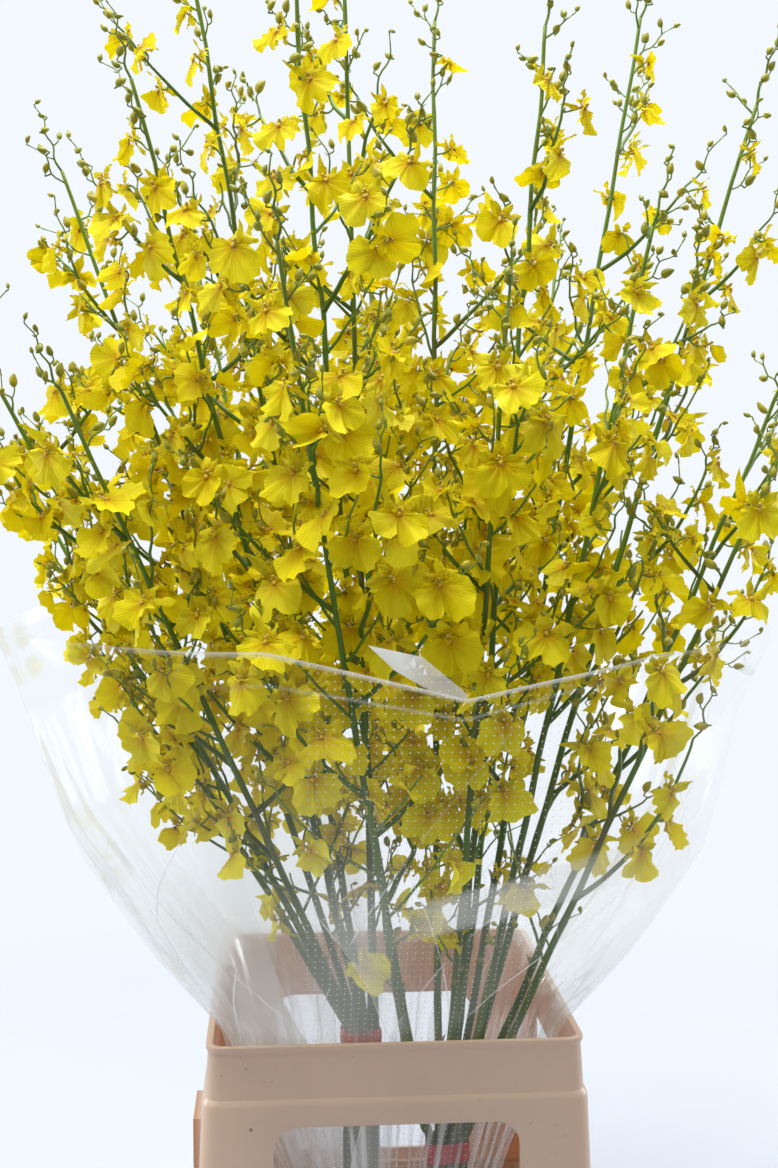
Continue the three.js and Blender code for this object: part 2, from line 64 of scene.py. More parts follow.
WALL, GAP, CORNER = 3.0, 0.3, 10.0
BUCKET = dict(bottom=106, top=121, height=140, rim=124.5, rim_high=4)
COLLAR = dict(low=128, low_half=128.6, step=294, step_half=121.5, ring_half=119.3,
              high=330, high_half=117.6, bead=1.2, ledge=119.5)
WINDOW = dict(low=152, high=280, half=77, corner=15)
HANDHOLE = dict(low=250, high=280, half=77, corner=5)
GRIP = dict(low=188, high=245, half=24, reach=132.5)
SLEEVE = [(150, 62), (329, 113.4), (387, 158), (455, 205), (580, 257)]
SLEEVE_TOP, SLEEVE_DIP, COLLAR_TOP = SLEEVE[-1][0], 24, COLLAR["high"]
BUNDLES = {"right": ((42, -22), 226), "left": ((-14, 46), 280)}
BAND = dict(high=14, thick=1.2)
STEM_FOOT, STEM_LOW, STEM_PITCH, STALK, BRANCH_LOW = 3.3, 3.2, 7.6, 14, 2.2
# the balls that hold a flower, in its own frame
ROOM = [((9.8, -10.5, 0), 11.8), ((-9.8, -10.5, 0), 11.8), ((0, 6, 0), 8.5)]
FLOWERS_FROM = COLLAR_TOP + 8
# where a branch's first flower is, and the share of its length that its flowers take up
FLOWER_FIRST, FLOWER_SPAN = 0.96, 0.68
# tip of the stem, bend, height of the lowest branch, branches, length of the lowest one
SPRAYS = {
    "right": [
        ((-62, -128, 975), 0.66, 400, 7, 200), ((62, -150, 780), 0.9, 400, 5, 160),
        ((150, -140, 830), 0.95, 430, 5, 150), ((100, -62, 970), 0.92, 470, 6, 160),
        ((238, -62, 925), 1.05, 440, 6, 150), ((182, 24, 1004), 0.98, 500, 6, 160),
        ((284, -22, 775), 1.0, 400, 5, 150), ((226, -158, 700), 1.0, 380, 5, 150),
        ((-72, -192, 810), 0.9, 390, 6, 175), ((150, 172, 850), 1.0, 430, 5, 165),
        ((40, 60, 1010), 0.95, 520, 6, 160),
    ],
    "left": [
        ((-28, -16, 1032), 0.95, 540, 7, 150), ((-128, -20, 1020), 1.0, 480, 7, 170),
        ((-158, -104, 920), 1.0, 430, 6, 170), ((-218, 14, 890), 1.05, 430, 6, 165),
        ((-276, -36, 780), 1.05, 420, 6, 150), ((-262, 70, 690), 1.0, 400, 5, 150),
        ((-196, -150, 730), 1.0, 400, 6, 160), ((-136, 172, 852), 1.0, 430, 5, 165),
        ((6, 218, 812), 1.0, 430, 5, 155),
    ],
}

# ---- numbers and vectors

SEED, TURN, FRONT = 7, pi * (3 - sqrt(5)), 1.5 * pi
UP = np.array([0.0, 0.0, 1.0])


def chance(*keys):
    """A number from 0 to 1 that depends on the keys alone, by the same hash as in the solids."""
    h = SEED
    for key in keys:
        h = ((h ^ (key + 0x9E3779B9)) & 0xFFFFFFFF) * 0x85EBCA6B & 0xFFFFFFFF
        h = (h ^ (h >> 13)) * 0xC2B2AE35 & 0xFFFFFFFF
        h ^= h >> 16
    return h / 4294967296


def spread(*keys):
    return 2 * chance(*keys) - 1


def hand(k):
    """One side for an odd number, the other for an even one."""
    return 1 if k % 2 else -1


def dot(a, b):
    return float(a[0] * b[0] + a[1] * b[1] + a[2] * b[2])


def unit(a):
    a = np.asarray(a, float)
    return a / (sqrt(float((a * a).sum())) or 1)


def cross(a, b):
    return np.array([a[1] * b[2] - a[2] * b[1], a[2] * b[0] - a[0] * b[2], a[0] * b[1] - a[1] * b[0]])


def mix(a, b, t):
    return a + (b - a) * t


def limit(x, low, high):
    return min(max(x, low), high)


def blend(*pairs):
    return unit(sum(np.asarray(a, float) * k for a, k in pairs))


def around(angle, z=0.0):
    return np.array([cos(angle), sin(angle), z])


def circle(n):
    """n angles, evenly round a circle."""
    return np.linspace(0, tau, n + 1)[:-1]


# ---- where everything grows, as in the solids


def sleeve_half(z):
    i = limit(sum(height <= z for height, _ in SLEEVE), 1, len(SLEEVE) - 1)
    (z0, h0), (z1, h1) = SLEEVE[i - 1], SLEEVE[i]
    return h0 + ((h1 - h0) * (limit(z, z0, z1) - z0)) / (z1 - z0)


def sleeve_radius(angle, z):
    """The sleeve's outline is square where it leans on the collar, and nearly round at its top."""
    over = z - COLLAR_TOP
    power = 8 - 4 * limit(-over / 100, 0, 1) if over < 0 else 8 - 5.8 * sqrt(limit(over / 200, 0, 1))
    c, s = abs(cos(angle)) ** power, abs(sin(angle)) ** power
    return sleeve_half(z) / (c + s) ** (1 / power)


def in_sleeve(p, radius, room):
    """True if a ball is over the sleeve's edge, or inside its wall with some room to spare."""
    if p[2] >= SLEEVE_TOP + radius:
        return True
    wall = sleeve_radius(atan2(p[1], p[0]), min(p[2], SLEEVE_TOP))
    return hypot(p[0], p[1]) + room * radius + 3 <= wall


def feet(at, sprays):
    """The feet of a bundle, which push each other one pitch apart."""
    tips = np.array([s[0][:2] for s in sprays], float)
    spots = (tips - tips.sum(0) / len(tips)) * 0.05
    for _ in range(200):
        for i in range(len(spots)):
            for j in range(i):
                apart = spots[i] - spots[j]
                short = STEM_PITCH - hypot(*apart)
                if short > 0:
                    push = apart / (hypot(*apart) or 1) * (short / 2)
                    spots[i] = spots[i] + push
                    spots[j] = spots[j] - push
    return spots + np.array(at, float)


class Taken:
    """The room that is taken: capsules, the spray that holds each, and whether it belongs to a flower."""

    def __init__(self, size=12000):
        self.n = 0
        self.a, self.ab = np.zeros((size, 3)), np.zeros((size, 3))
        self.square, self.radius = np.zeros(size), np.zeros(size)
        self.owner, self.flower = np.zeros(size, int), np.zeros(size, bool)

    def take(self, points, radius, owner, flower):
        for a, b in zip(points, points[1:]):
            i = self.n
            self.a[i], self.ab[i] = a, b - a
            self.square[i] = dot(b - a, b - a)
            self.radius[i], self.owner[i], self.flower[i] = radius, owner, flower
            self.n += 1

    def far(self, p):
        """How far a point is from the axis of each capsule."""
        a, ab, square = self.a[: self.n], self.ab[: self.n], self.square[: self.n]
        t = np.where(square > 0, np.clip(((p - a) * ab).sum(1) / np.where(square > 0, square, 1), 0, 1), 0)
        return np.sqrt(((a + ab * t[:, None] - p) ** 2).sum(1))

    def clear(self, p, radius, owner, own=0.0):
        """True if a ball keeps clear of the other sprays, and of its own as far as it has to."""
        if not in_sleeve(p, radius, 1.2) or p[2] - radius < FLOWERS_FROM:
            return False
        apart = radius + self.radius[: self.n]
        same = np.where(self.flower[: self.n], 0.92 * apart, own * radius)
        least = np.where(self.owner[: self.n] != owner, apart + 0.6, same)
        return bool((self.far(p) >= least).all())

    def free(self, p, radius, crowd):
        """True if a ball has room among the flowers, given how far it may press into theirs."""
        least = np.where(self.flower[: self.n], crowd * (radius + self.radius[: self.n]), 0.3 * radius)
        return bool((self.far(p) >= least).all())


taken = Taken()


def stem_point(s, z):
    t = max((z - s["band"]) / (s["tip"][2] - s["band"]), 0)
    xy = mix(s["foot"], s["tip"][:2], t ** s["bend"])
    return np.array([xy[0], xy[1], z])


def stem_direction(s, z):
    return unit(stem_point(s, z + 5) - stem_point(s, z))


def curve_point(curve, t):
    a, b, c = curve
    return mix(mix(a, b, t), mix(b, c, t), t)


def curve_direction(curve, t):
    a, b, c = curve
    return unit(mix(b - a, c - b, t))


def outward(p):
    far = max(hypot(p[0], p[1]), 60)
    return unit([p[0] / far, p[1] / far, 0.35])


def joints(reach):
    """How many flowers, and so joints, a branch of this length has."""
    return limit(floor(reach / 25 + 0.5), 3, 6)


def grow_branch(s, k):
    """A branch, in the first of its turns that keeps it clear of the rest."""
    share = (k + 0.5 + 0.3 * spread(s["id"], k, 90)) / s["branches"]
    root = stem_point(s, s["first"] + (s["tip"][2] - 75 - s["first"]) * share)
    for attempt in range(24):
        r = [spread(s["id"], k, 100 + attempt, n) for n in range(5)]
        angle = s["id"] * 1.7 + k * TURN + (0.3 + 0.12 * attempt) * r[1]
        out = outward(root)
        flat = unit([cos(angle) + 0.6 * out[0], sin(angle) + 0.6 * out[1], 0])
        reach = s["reach"] * (1 - 0.55 * share) * (0.95 + 0.15 * r[2]) * (1 - 0.03 * attempt)

        def step(rise):
            return np.array([flat[0] * cos(rise), flat[1] * cos(rise), sin(rise)]) * (reach / 2)

        knee = root + step(0.62 + 0.16 * r[3] + 0.015 * attempt)
        curve = (root, knee, knee + step(1.08 + 0.22 * r[4]))
        checks = ceil(reach / 7)
        if all(taken.clear(curve_point(curve, i / checks), 2.8 if i < 4 else 4, s["id"])
               for i in range(2, checks + 3)):
            points = [curve_point(curve, t) for t in (0, 1 / 3, 2 / 3, 1.08)]
            taken.take(points, BRANCH_LOW + 0.6, s["id"], False)
            return dict(curve=curve, reach=reach, k=k)
    return None


# How a flower is set. skew: how far its node is turned; out and rise: where its stalk goes; face: the shares
# of outward, of the stalk and of chance in the way it faces; tilt: how far it leans; least: how far it must
# face along its stalk. A pair is a value and how much it varies.
SET = dict(tries=16, first=0, skew=0.25, out=(0.65, 0.35), rise=0.5, face=(1, 0.35), by_chance=(0.5, 0.05),
           tilt=0.55, least=0.4, stalk=(STALK, 0))
SET_MORE = dict(tries=9, first=900, skew=0.5, out=(0.5, 0.5), rise=0.7, face=(0.6, 0.5), by_chance=(1.3, 0),
                tilt=1.1, least=0.12, stalk=(STALK - 1, 3))


def flower_poses(owner, key, node, along, side, w):
    """The ways in which a flower can be set at its node, one after the other."""
    for attempt in range(w["tries"]):
        r = [spread(owner, key, w["first"] + attempt, n) for n in range(12)]
        out = outward(node)
        across = unit(cross(along, blend((out, 1), (r[1:4], w["skew"]))))
        stalk = blend((across, 0.9 * side), (out, w["out"][0] + w["out"][1] * r[4]),
                      (UP, 0.1 + w["rise"] * r[5]))
        front = blend((out, w["face"][0]), (stalk, w["face"][1]),
                      (r[6:9], w["by_chance"][0] + w["by_chance"][1] * attempt))
        upright = UP + np.array(r[9:]) * w["tilt"]
        up = unit(upright - front * dot(upright, front))
        if dot(front, stalk) >= w["least"]:
            yield dict(middle=node + stalk * (w["stalk"][0] + w["stalk"][1] * r[0]), front=front, up=up,
                       right=cross(up, front), across=across * side, stalk=stalk)


def flower_balls(f):
    middle, right, up, front = (f[key] for key in ("middle", "right", "up", "front"))
    return [(middle + right * x + (up * y + front * z), radius) for (x, y, z), radius in ROOM]


def take_flower(balls, owner):
    for p, radius in balls:
        taken.take([p, p], radius, owner, True)


def grow_flower(owner, key, node, along, side):
    for f in flower_poses(owner, key, node, along, side, SET):
        balls = flower_balls(f)
        stalk = [(mix(node, f["middle"], t), 1.8) for t in (0.35, 0.7)]
        if all(taken.clear(p, radius, owner, 0.75 if radius > 5 else 0) for p, radius in balls + stalk):
            take_flower(balls, owner)
            taken.take([node, f["middle"]], 1.4, owner, False)
            return f
    return None


def keep_flower(s, f, branch, t, order):
    """Notes a flower with its branch, or -1 for the stem, its place there and its order from the tip."""
    if f:
        s["flowers"].append(dict(f, branch=branch, t=t, order=order))


def grow_bunch():
    sprays = []
    for name, (at, band) in BUNDLES.items():
        for foot, (tip, bend, first, branches, reach) in zip(feet(at, SPRAYS[name]), SPRAYS[name]):
            sprays.append(dict(id=len(sprays), bundle=name, band=band, foot=foot, tip=np.array(tip, float),
                               bend=bend, first=first, branches=branches, reach=reach,
                               flowers=[], twigs=[], more=[]))
    for s in sprays:
        line = [stem_point(s, s["band"] + ((s["tip"][2] - s["band"]) * i) / 24) for i in range(25)]
        taken.take(line, STEM_LOW, s["id"], False)
    for k in range(max(s["branches"] for s in sprays)):
        for s in sprays:
            twig = grow_branch(s, k) if k < s["branches"] else None
            if twig:
                s["twigs"].append(twig)
    for j in range(7):
        for s in sprays:
            for twig in s["twigs"]:
                curve, k, nodes = twig["curve"], twig["k"], joints(twig["reach"])
                if j < nodes:
                    t = FLOWER_FIRST - (FLOWER_SPAN * j) / (nodes - 1)
                    node, along = curve_point(curve, t), curve_direction(curve, t)
                    keep_flower(s, grow_flower(s["id"], 10 * (k + 1) + j, node, along, hand(j + k)), k, t, j)
            if j < 4:
                z = s["tip"][2] - 40 - 28 * j
                f = grow_flower(s["id"], 500 + j, stem_point(s, z), stem_direction(s, z), hand(j))
                keep_flower(s, f, -1, z, j)
    return sprays


# ---- the growth that the solids leave out

# where a side twig's first flower is and how far apart they are, and the same for more flowers on a branch
SIDE_FIRST, SIDE_STEP, SIDE_FLOWERS = 0.97, 0.2, 4
MORE_FIRST, MORE_STEP, MORE_FLOWERS = 0.9, 0.115, 7
CROWD = 0.66


def inside(p, margin):
    return bool((p > LOW + margin).all() and (p < HIGH - margin).all())


def roomy(p, radius):
    """True inside the sleeve and the part's box, over the collar."""
    return in_sleeve(p, radius, 1.1) and p[2] - radius > FLOWERS_FROM and inside(p, radius * 0.8)


def fullness(p):
    """How full of flowers the bunch is: dense on the left and in the middle, open on the right and on top."""
    across = np.interp(p[0], [-270, -210, 30, 90, 170, 220], [0.5, 1.0, 1.0, 0.65, 0.25, 0.0])
    low = np.interp(hypot(p[0], p[1]), [60, 110], [1.0, 0.35])
    up = np.interp(p[2], [380, 450, 520, 620, 800, 880, 940],
                   [0.4 * low, 0.7 * low, 0.9 * low, 0.95, 0.82, 0.15, 0.0])
    return float(across * up)


def grow_side_twig(s, key, base, at, side, long):
    """A short twig, as a curve of three points, from a height on the stem or a place on the branch base."""
    if base:
        root, along = curve_point(base["curve"], at), curve_direction(base["curve"], at)
    else:
        root, along = stem_point(s, at), stem_direction(s, at)
    r = [spread(s["id"], key, 70, n) for n in range(6)]
    out = outward(root)
    across = unit(cross(along, blend((out, 1), (r[:3], 0.9))))
    flat = blend((across, side), (out, 0.5 + 0.6 * r[3]), (along, 0.4))
    knee = root + blend((flat, 1), (UP, 0.3)) * (long / 2)
    curve = (root, knee, knee + blend((flat, 1), (UP, 1.0 + 0.4 * r[4])) * (long / 2))
    if all(roomy(curve_point(curve, t), 5) for t in (0.4, 0.7, 1.0, 1.15)):
        s["more"].append(dict(curve=curve, k=key, base=base["k"] if base else -1, at=at))


def grow_more_flower(owner, key, node, along, side):
    """A flower between the others, which may press into them a little."""
    for f in flower_poses(owner, key, node, along, side, SET_MORE):
        balls = flower_balls(f)
        if all(roomy(p, radius) and taken.free(p, radius, CROWD) for p, radius in balls):
            take_flower(balls, owner)
            return dict(f, more=True)
    return None


def fill_bunch(sprays):
    """More flowers along the branches, and on short twigs between them."""
    for s in sprays:
        rise, last = s["tip"][2] - 60 - s["first"], 2 * s["branches"]
        for k in range(last + 1):
            z = s["first"] - 30 + rise * (k + 0.5 + 0.3 * spread(s["id"], k, 71)) / (last + 1)
            long = (95 - 45 * k / last) * (1 + 0.2 * spread(s["id"], k, 72))
            grow_side_twig(s, 40 + k, None, z, hand(k), long)
        # slender low branches, close to the stems
        for k in range(3):
            z = COLLAR_TOP + 34 + 36 * k + 22 * spread(s["id"], k, 75)
            if z < s["first"] - 30 and chance(s["id"], k, 76) < 0.8:
                grow_side_twig(s, 70 + k, None, z, hand(k), 62 + 22 * spread(s["id"], k, 77))
        for twig in s["twigs"]:
            for i, t in enumerate((0.3, 0.52, 0.74)):
                if chance(s["id"], twig["k"], i, 73) < 0.75:
                    long = min(0.42 * twig["reach"], 62) * (1 - 0.3 * t)
                    grow_side_twig(s, 80 + 5 * twig["k"] + i, twig, t, hand(i + twig["k"]), long)
    for j in range(MORE_FLOWERS):
        for s in sprays:
            for twig in s["twigs"] + s["more"]:
                curve, k, short = twig["curve"], twig["k"], "base" in twig
                if short and j >= SIDE_FLOWERS:
                    continue
                t = SIDE_FIRST - SIDE_STEP * j if short else MORE_FIRST - MORE_STEP * j
                node, key = curve_point(curve, t), 2000 + 10 * k + j
                if chance(s["id"], key, 74) <= fullness(node):
                    f = grow_more_flower(s["id"], key, node, curve_direction(curve, t), hand(j + k))
                    keep_flower(s, f, k, t, j)


# ---- meshes


def new_object(name, data):
    made = bpy.data.objects.new(name, data)
    bpy.context.scene.collection.objects.link(made)
    return made


class Build:
    """Points and faces in millimetres, with a material and three numbers for each, gathered into one mesh."""

    def __init__(self):
        self.points, self.faces, self.slots, self.grow, self.count = [], [], [], [], 0

    def add(self, points, faces, slot=0, grow=(0, 0, 0)):
        points = np.asarray(points, float).reshape(-1, 3)
        self.points.append(points)
        self.grow.append(np.broadcast_to(np.asarray(grow, float), points.shape))
        self.faces += [tuple(i + self.count for i in face) for face in faces]
        self.slots += [slot] * len(faces)
        self.count += len(points)

    def mesh(self, name, materials):
        mesh = bpy.data.meshes.new(name)
        mesh.from_pydata((np.concatenate(self.points) * MM).tolist(), [], self.faces)
        for material in materials:
            mesh.materials.append(material)
        mesh.polygons.foreach_set("material_index", np.array(self.slots, np.int32))
        mesh.polygons.foreach_set("use_smooth", np.full(len(self.faces), True))
        grow = mesh.attributes.new("grow", "FLOAT_VECTOR", "POINT")
        grow.data.foreach_set("vector", np.concatenate(self.grow).astype(np.float32).ravel())
        mesh.update()
        return new_object(name, mesh)


def place(piece, node):
    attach(piece, "root")
    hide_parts(node)


def grid_faces(rows, columns, closed=True):
    faces = []
    for r in range(rows - 1):
        for c in range(columns if closed else columns - 1):
            a, b = r * columns + c, r * columns + (c + 1) % columns
            faces.append((a, b, b + columns, a + columns))
    return faces


def stack(*parts):
    """The three numbers of each point of a grid, as rows."""
    return np.stack(np.broadcast_arrays(*parts), -1).reshape(-1, 3)


def tube(build, line, radii, sides, slot, u, rand, tip=True, v=0.0, ribs=0.0):
    """A round stick along a line, which can close in a point at its end."""
    line = np.asarray(line, float)
    n = len(line)
    along = np.gradient(line, axis=0)
    along /= np.linalg.norm(along, axis=1)[:, None]
    side = unit(cross(along[0], [0.31, 0.77, 0.55]))
    angles = np.arange(sides) * tau / sides
    wave = 1 + ribs * np.cos(3 * angles)
    points = np.zeros((n, sides, 3))
    for i in range(n):
        side = unit(side - along[i] * dot(side, along[i]))
        other = cross(along[i], side)
        ring = np.cos(angles)[:, None] * side + np.sin(angles)[:, None] * other
        points[i] = line[i] + ring * (radii[i] * wave)[:, None]
    points = points.reshape(-1, 3)
    faces = grid_faces(n, sides)
    grow = stack(np.repeat(np.linspace(*u, n), sides), v, rand)
    if tip:
        points = np.vstack([points, line[-1] + along[-1] * radii[-1] * 0.6])
        grow = np.vstack([grow, [u[1], v, rand]])
        faces += [((n - 1) * sides + i, (n - 1) * sides + (i + 1) % sides, n * sides) for i in range(sides)]
    build.add(points, faces, slot, grow)


def bezier(a, b, c, d, n):
    t = np.linspace(0, 1, n)[:, None]
    return a * (1 - t) ** 3 + 3 * b * t * (1 - t) ** 2 + 3 * c * t**2 * (1 - t) + d * t**3


def smooth_line(points, n):
    """n points along a smooth curve through the given ones."""
    p = np.asarray(points, float)
    p = np.vstack([2 * p[0] - p[1], p, 2 * p[-1] - p[-2]])
    out = []
    for x in np.linspace(0, len(points) - 1 - 1e-9, n):
        i, t = int(x), x - int(x)
        a, b, c, d = p[i : i + 4]
        out.append(0.5 * (2 * b + (c - a) * t + (2 * a - 5 * b + 4 * c - d) * t**2
                          + (3 * b - a - 3 * c + d) * t**3))
    return np.array(out)


STEM, BUD, BRACT = 0, 1, 2
# faces round a stick
ROUND = dict(stem=9, branch=6, column=6, bud=6, side=5, stalk=5, thin=4)
# where in the stem's colours, from the dark foot to the pale tips, each part begins and ends
TONE = dict(stem=(0, 0.85), branch=(0.25, 0.8), side=(0.6, 0.9), twig=(0.7, 1.0), hook=(0.75, 0.95),
            stalk=(0.75, 0.97))
BUD_SHAPE = [(0.0, 0.34), (0.1, 0.7), (0.28, 0.97), (0.46, 1.0), (0.66, 0.84), (0.84, 0.5), (0.95, 0.22)]
HOOK_POINTS = 6


def add_bud(build, base, direction, long, radius, rand, ripe):
    bow = unit(cross(direction, [0.3, 0.5, 0.8])) * 0.12 * long
    line = [base + direction * long * x + bow * sin(pi * x) for x, _ in BUD_SHAPE]
    tube(build, line, [radius * r for _, r in BUD_SHAPE], ROUND["bud"], BUD, (0, 1), rand, v=ripe, ribs=0.05)


def add_hook(build, node, away, end_direction, long, radius, rand, bend):
    """A curved stalk that leaves a twig sideways and turns over to end in a given direction."""
    end = node + away * long * 0.62 + end_direction * long * 0.42 * bend
    line = bezier(node, node + away * long * 0.62, end - end_direction * long * 0.5, end, HOOK_POINTS)
    radii = np.linspace(radius, radius * 0.9, HOOK_POINTS)
    tube(build, line, radii, ROUND["thin"], STEM, TONE["hook"], rand, tip=False)
    return end


def add_bract(build, node, along, away, long, rand):
    """A small pointed scale at a joint."""
    side = cross(along, away)
    points, shares = [], (0, 0.35, 0.7, 1)
    for u in shares:
        w = long * 0.24 * (1 - u) ** 0.6
        p = node + along * long * u * 0.9 + away * (1.2 + long * 0.22 * u)
        points += [p - side * w - away * w * 0.5, p + away * w * 0.2, p + side * w - away * w * 0.5]
    grow = [(u, 0, rand) for u in shares for _ in range(3)]
    build.add(points, grid_faces(4, 3, closed=False), BRACT, grow)


# ---- a flower

# The lip's right half, from its neck round the lobe to the notch in the middle.
LOBE = [(1.9, 0.6), (4.2, 2.4), (8.0, 2.9), (12.6, 2.6), (16.8, 0.4), (19.3, -4.2), (19.2, -9.8),
        (17.0, -14.8), (13.4, -18.8), (8.8, -20.8), (4.6, -20.4), (1.5, -18.0), (0, -15.6)]
LIP_HALF, LIP_LONG = 19, 20
PETAL, CALLUS, COLUMN, TEPAL = 0, 1, 2, 3
# base, and ranges of the angle from straight up, length, width, tilt and curl, then how wavy it is
WING = ((1.4, 3.0, -0.3), (0.6, 1.3), (12, 16), (6.8, 9.6), (-0.4, 0.7), (-0.8, 0.8), 1.6)
LOW_TEPAL = ((1.0, 1.6, -1.4), (1.9, 2.6), (10, 13.5), (4.2, 6.2), (-0.7, -0.2), (-0.5, 0.5), 1.2)
TOP_TEPAL = ((0, 3.6, -0.8), (-0.25, 0.25), (10, 13), (5.4, 7.6), (-0.3, 0.7), (-0.4, 0.9), 1.3)
TEPALS = [(-1, WING), (-1, LOW_TEPAL), (1, WING), (1, LOW_TEPAL), (1, TOP_TEPAL)]


def lip_outline(columns):
    half = smooth_line(LOBE, columns // 2 + 1)
    return np.vstack([half, (half * [-1, 1])[::-1][1:]])


# the added flowers, under True, have fewer faces
LIP_ROWS = {False: [0.0, 0.22, 0.45, 0.65, 0.82, 1.0], True: [0.0, 0.42, 0.76, 1.0]}
LIP_OUTLINE = {False: lip_outline(42), True: lip_outline(30)}


def add_lip(build, place_at, rng, rand, size, cup, more):
    """The broad lip: ragged and ruffled at its margin, its two lobes bent or folded, each in its own way."""
    outline, rows = LIP_OUTLINE[more], np.array(LIP_ROWS[more])[:, None]
    n = len(outline)
    theta = np.linspace(-pi, pi, n)
    phase = rng.uniform(0, tau, 5)
    waves = rng.uniform(4.0, 6.5)
    lobe = 1 + rng.uniform(-0.12, 0.12) * np.sin(theta) + 0.04 * np.sin(2.5 * waves * theta + phase[0])
    edge = outline * lobe[:, None]
    ragged = np.convolve(rng.normal(0, 0.05, n + 2), (0.3, 0.4, 0.3), "valid")
    reach = (0.1 + 0.9 * rows) * (1 + ragged * rows**3)
    x, y = edge[:, 0] * reach, 0.2 + (edge[:, 1] - 0.2) * reach
    side, low = np.abs(x) / LIP_HALF, np.clip(-y / LIP_LONG, 0, 1.2)
    ruffle = rng.uniform(1.0, 3.6)
    z = ruffle * rows**2 * np.sin(waves * theta + phase[1])
    z += (0.5 + 0.5 * ruffle) * rows**4 * np.sin(2.3 * waves * theta + phase[2])
    z += 0.8 * np.sin(pi * rows) * np.sin(9 * theta + phase[3])
    z += rng.uniform(0.8, 2.4) * rows * np.sin(2.2 * theta + phase[4])
    crumple = 1.0 if more else 0.85
    fold = rng.uniform(-8, 6)
    for sign in (-1, 1):
        bend = crumple * (fold + rng.uniform(-6, 6)) + 9 * cup
        own = np.sign(x) == sign
        z += np.where(own, bend * side**1.6, 0)
        x = np.where(own, x * (1 - 0.02 * abs(bend) * side), x)
    drop = crumple * rng.uniform(-10, 5) + 6 * cup
    z += drop * low**1.8 + rng.uniform(-3.5, 3.5) * (x / LIP_HALF) * low
    y = y * (1 - 0.018 * abs(drop) * low) + 1.6 * cup * side
    x = x * (1 - 0.3 * cup)
    points = place_at(stack(x * size, y * size, z * size + 1.2))
    build.add(points, grid_faces(len(rows), n, closed=False), PETAL, stack(rows, theta / pi, rand))


def add_petal(build, place_at, rng, rand, base, angle, long, wide, tilt, curl, wavy, more,
              slot=TEPAL, rows=7):
    """A narrow wavy petal from its base, at an angle from straight up, in the flower's plane."""
    rows, columns = (min(rows, 5), 3) if more else (rows, 5)
    u = np.linspace(0, 1, rows)[:, None]
    v = np.linspace(-1, 1, columns)[None, :]
    phase = rng.uniform(0, tau, 3)
    width = wide / 2 * np.clip(np.sin(pi * u**0.8 * 0.97 + 0.09), 0.05, 1) ** 0.75
    width = width * (1 + 0.14 * np.sin(9 * u + phase[0]))
    across, up = v * width, long * u + 0 * v
    depth = tilt * u * long + curl * long * u**2 - 0.2 * wide * v**2
    depth = depth + wavy * np.abs(v) * np.sin(10 * u + phase[1] + 2.2 * np.sign(v)) * np.minimum(3 * u, 1)
    twist = rng.uniform(-0.5, 0.5) * u * v * width
    sway = 0.1 * long * np.sin(3 * u + phase[2])
    c, s = cos(angle), sin(angle)
    x = base[0] + (across + sway) * c + up * s
    y = base[1] - (across + sway) * s + up * c
    points = place_at(stack(x, y, base[2] + depth + twist))
    build.add(points, grid_faces(rows, columns, closed=False), slot, stack(u, v, rand))


def add_flower(build, f, rng):
    """A flower, and where its stalk joins it."""
    rand = rng.uniform(0, 1)
    more = "more" in f
    cup = rng.uniform(0.1, 0.9) if f["order"] == 0 or (more and rng.uniform() < 0.35) else 0.0
    # younger flowers are smaller: towards the tips, and on the open side
    x, _, z = f["middle"]
    young = np.interp(z, [650, 980], [1.0, 0.76]) * np.interp(x, [60, 260], [1.0, 0.85])
    size = rng.uniform(0.74 if more else 0.88, 1.04) * (1 - 0.12 * cup) * young

    def place_at(p):
        return f["middle"] + p[:, :1] * f["right"] + p[:, 1:2] * f["up"] + p[:, 2:3] * f["front"]

    add_lip(build, place_at, rng, rand, size, cup, more)
    k = size * (1 - 0.15 * cup)
    for side, (base, *ranges, wavy) in TEPALS:
        angle, long, wide, tilt, curl = [rng.uniform(*span) for span in ranges]
        add_petal(build, place_at, rng, rand, (side * base[0], *base[1:]), side * angle, k * long, k * wide,
                  tilt, curl, wavy, more)
    # the column, with its two wings
    line = place_at(np.array([(0, 2.2, -1.6), (0, 2.7, 0.2), (0, 3.2, 1.6), (0, 3.8, 2.8), (0, 4.0, 3.4)]))
    sides = ROUND["thin" if more else "column"]
    tube(build, line, [0.9, 0.95, 0.85, 1.05, 0.7], sides, COLUMN, (0, 1), rand)
    for side in (-1, 1):
        add_petal(build, place_at, rng, rand, (side * 0.5, 3.2, 2.2), side * 1.9, k * 2.2, k * 1.9, 0.15, 0.1,
                  0.15, more, slot=COLUMN, rows=3)
    # the crest, a cluster of small warts
    n = 6 if more else 10
    a = circle(n)
    rings = []
    for r, h in ((1.0, 0.1), (0.8, 0.9), (0.45, 1.5)):
        lump = 1 + 0.2 * np.sin(3 * a + 5 * rand) + 0.1 * np.sin(5 * a)
        rings.append(stack(1.9 * r * lump * np.cos(a), 0.1 + 2.0 * r * lump * np.sin(a), 1.2 + h))
    faces = grid_faces(3, n) + [(2 * n + i, 2 * n + (i + 1) % n, 3 * n) for i in range(n)]
    build.add(place_at(np.vstack([*rings, [[0, 0.1, 2.9]]])), faces, CALLUS,
              stack(np.repeat([0, 0.4, 0.8, 1], [n, n, n, 1]), 0, rand))
    return place_at(np.array([(0, 2.2, -1.4)]))[0]


# ---- a spray

JOINT = 46
STALK_RADII = [0.75, 0.67, 0.66, 0.7, 0.8, 0.95, 0.95]


def zigzag(x, size):
    """How far a twig swings out between its joints, which lie at whole numbers."""
    return size * (2 * abs(2 * (x / 2 - floor(x / 2 + 0.5))) - 1)


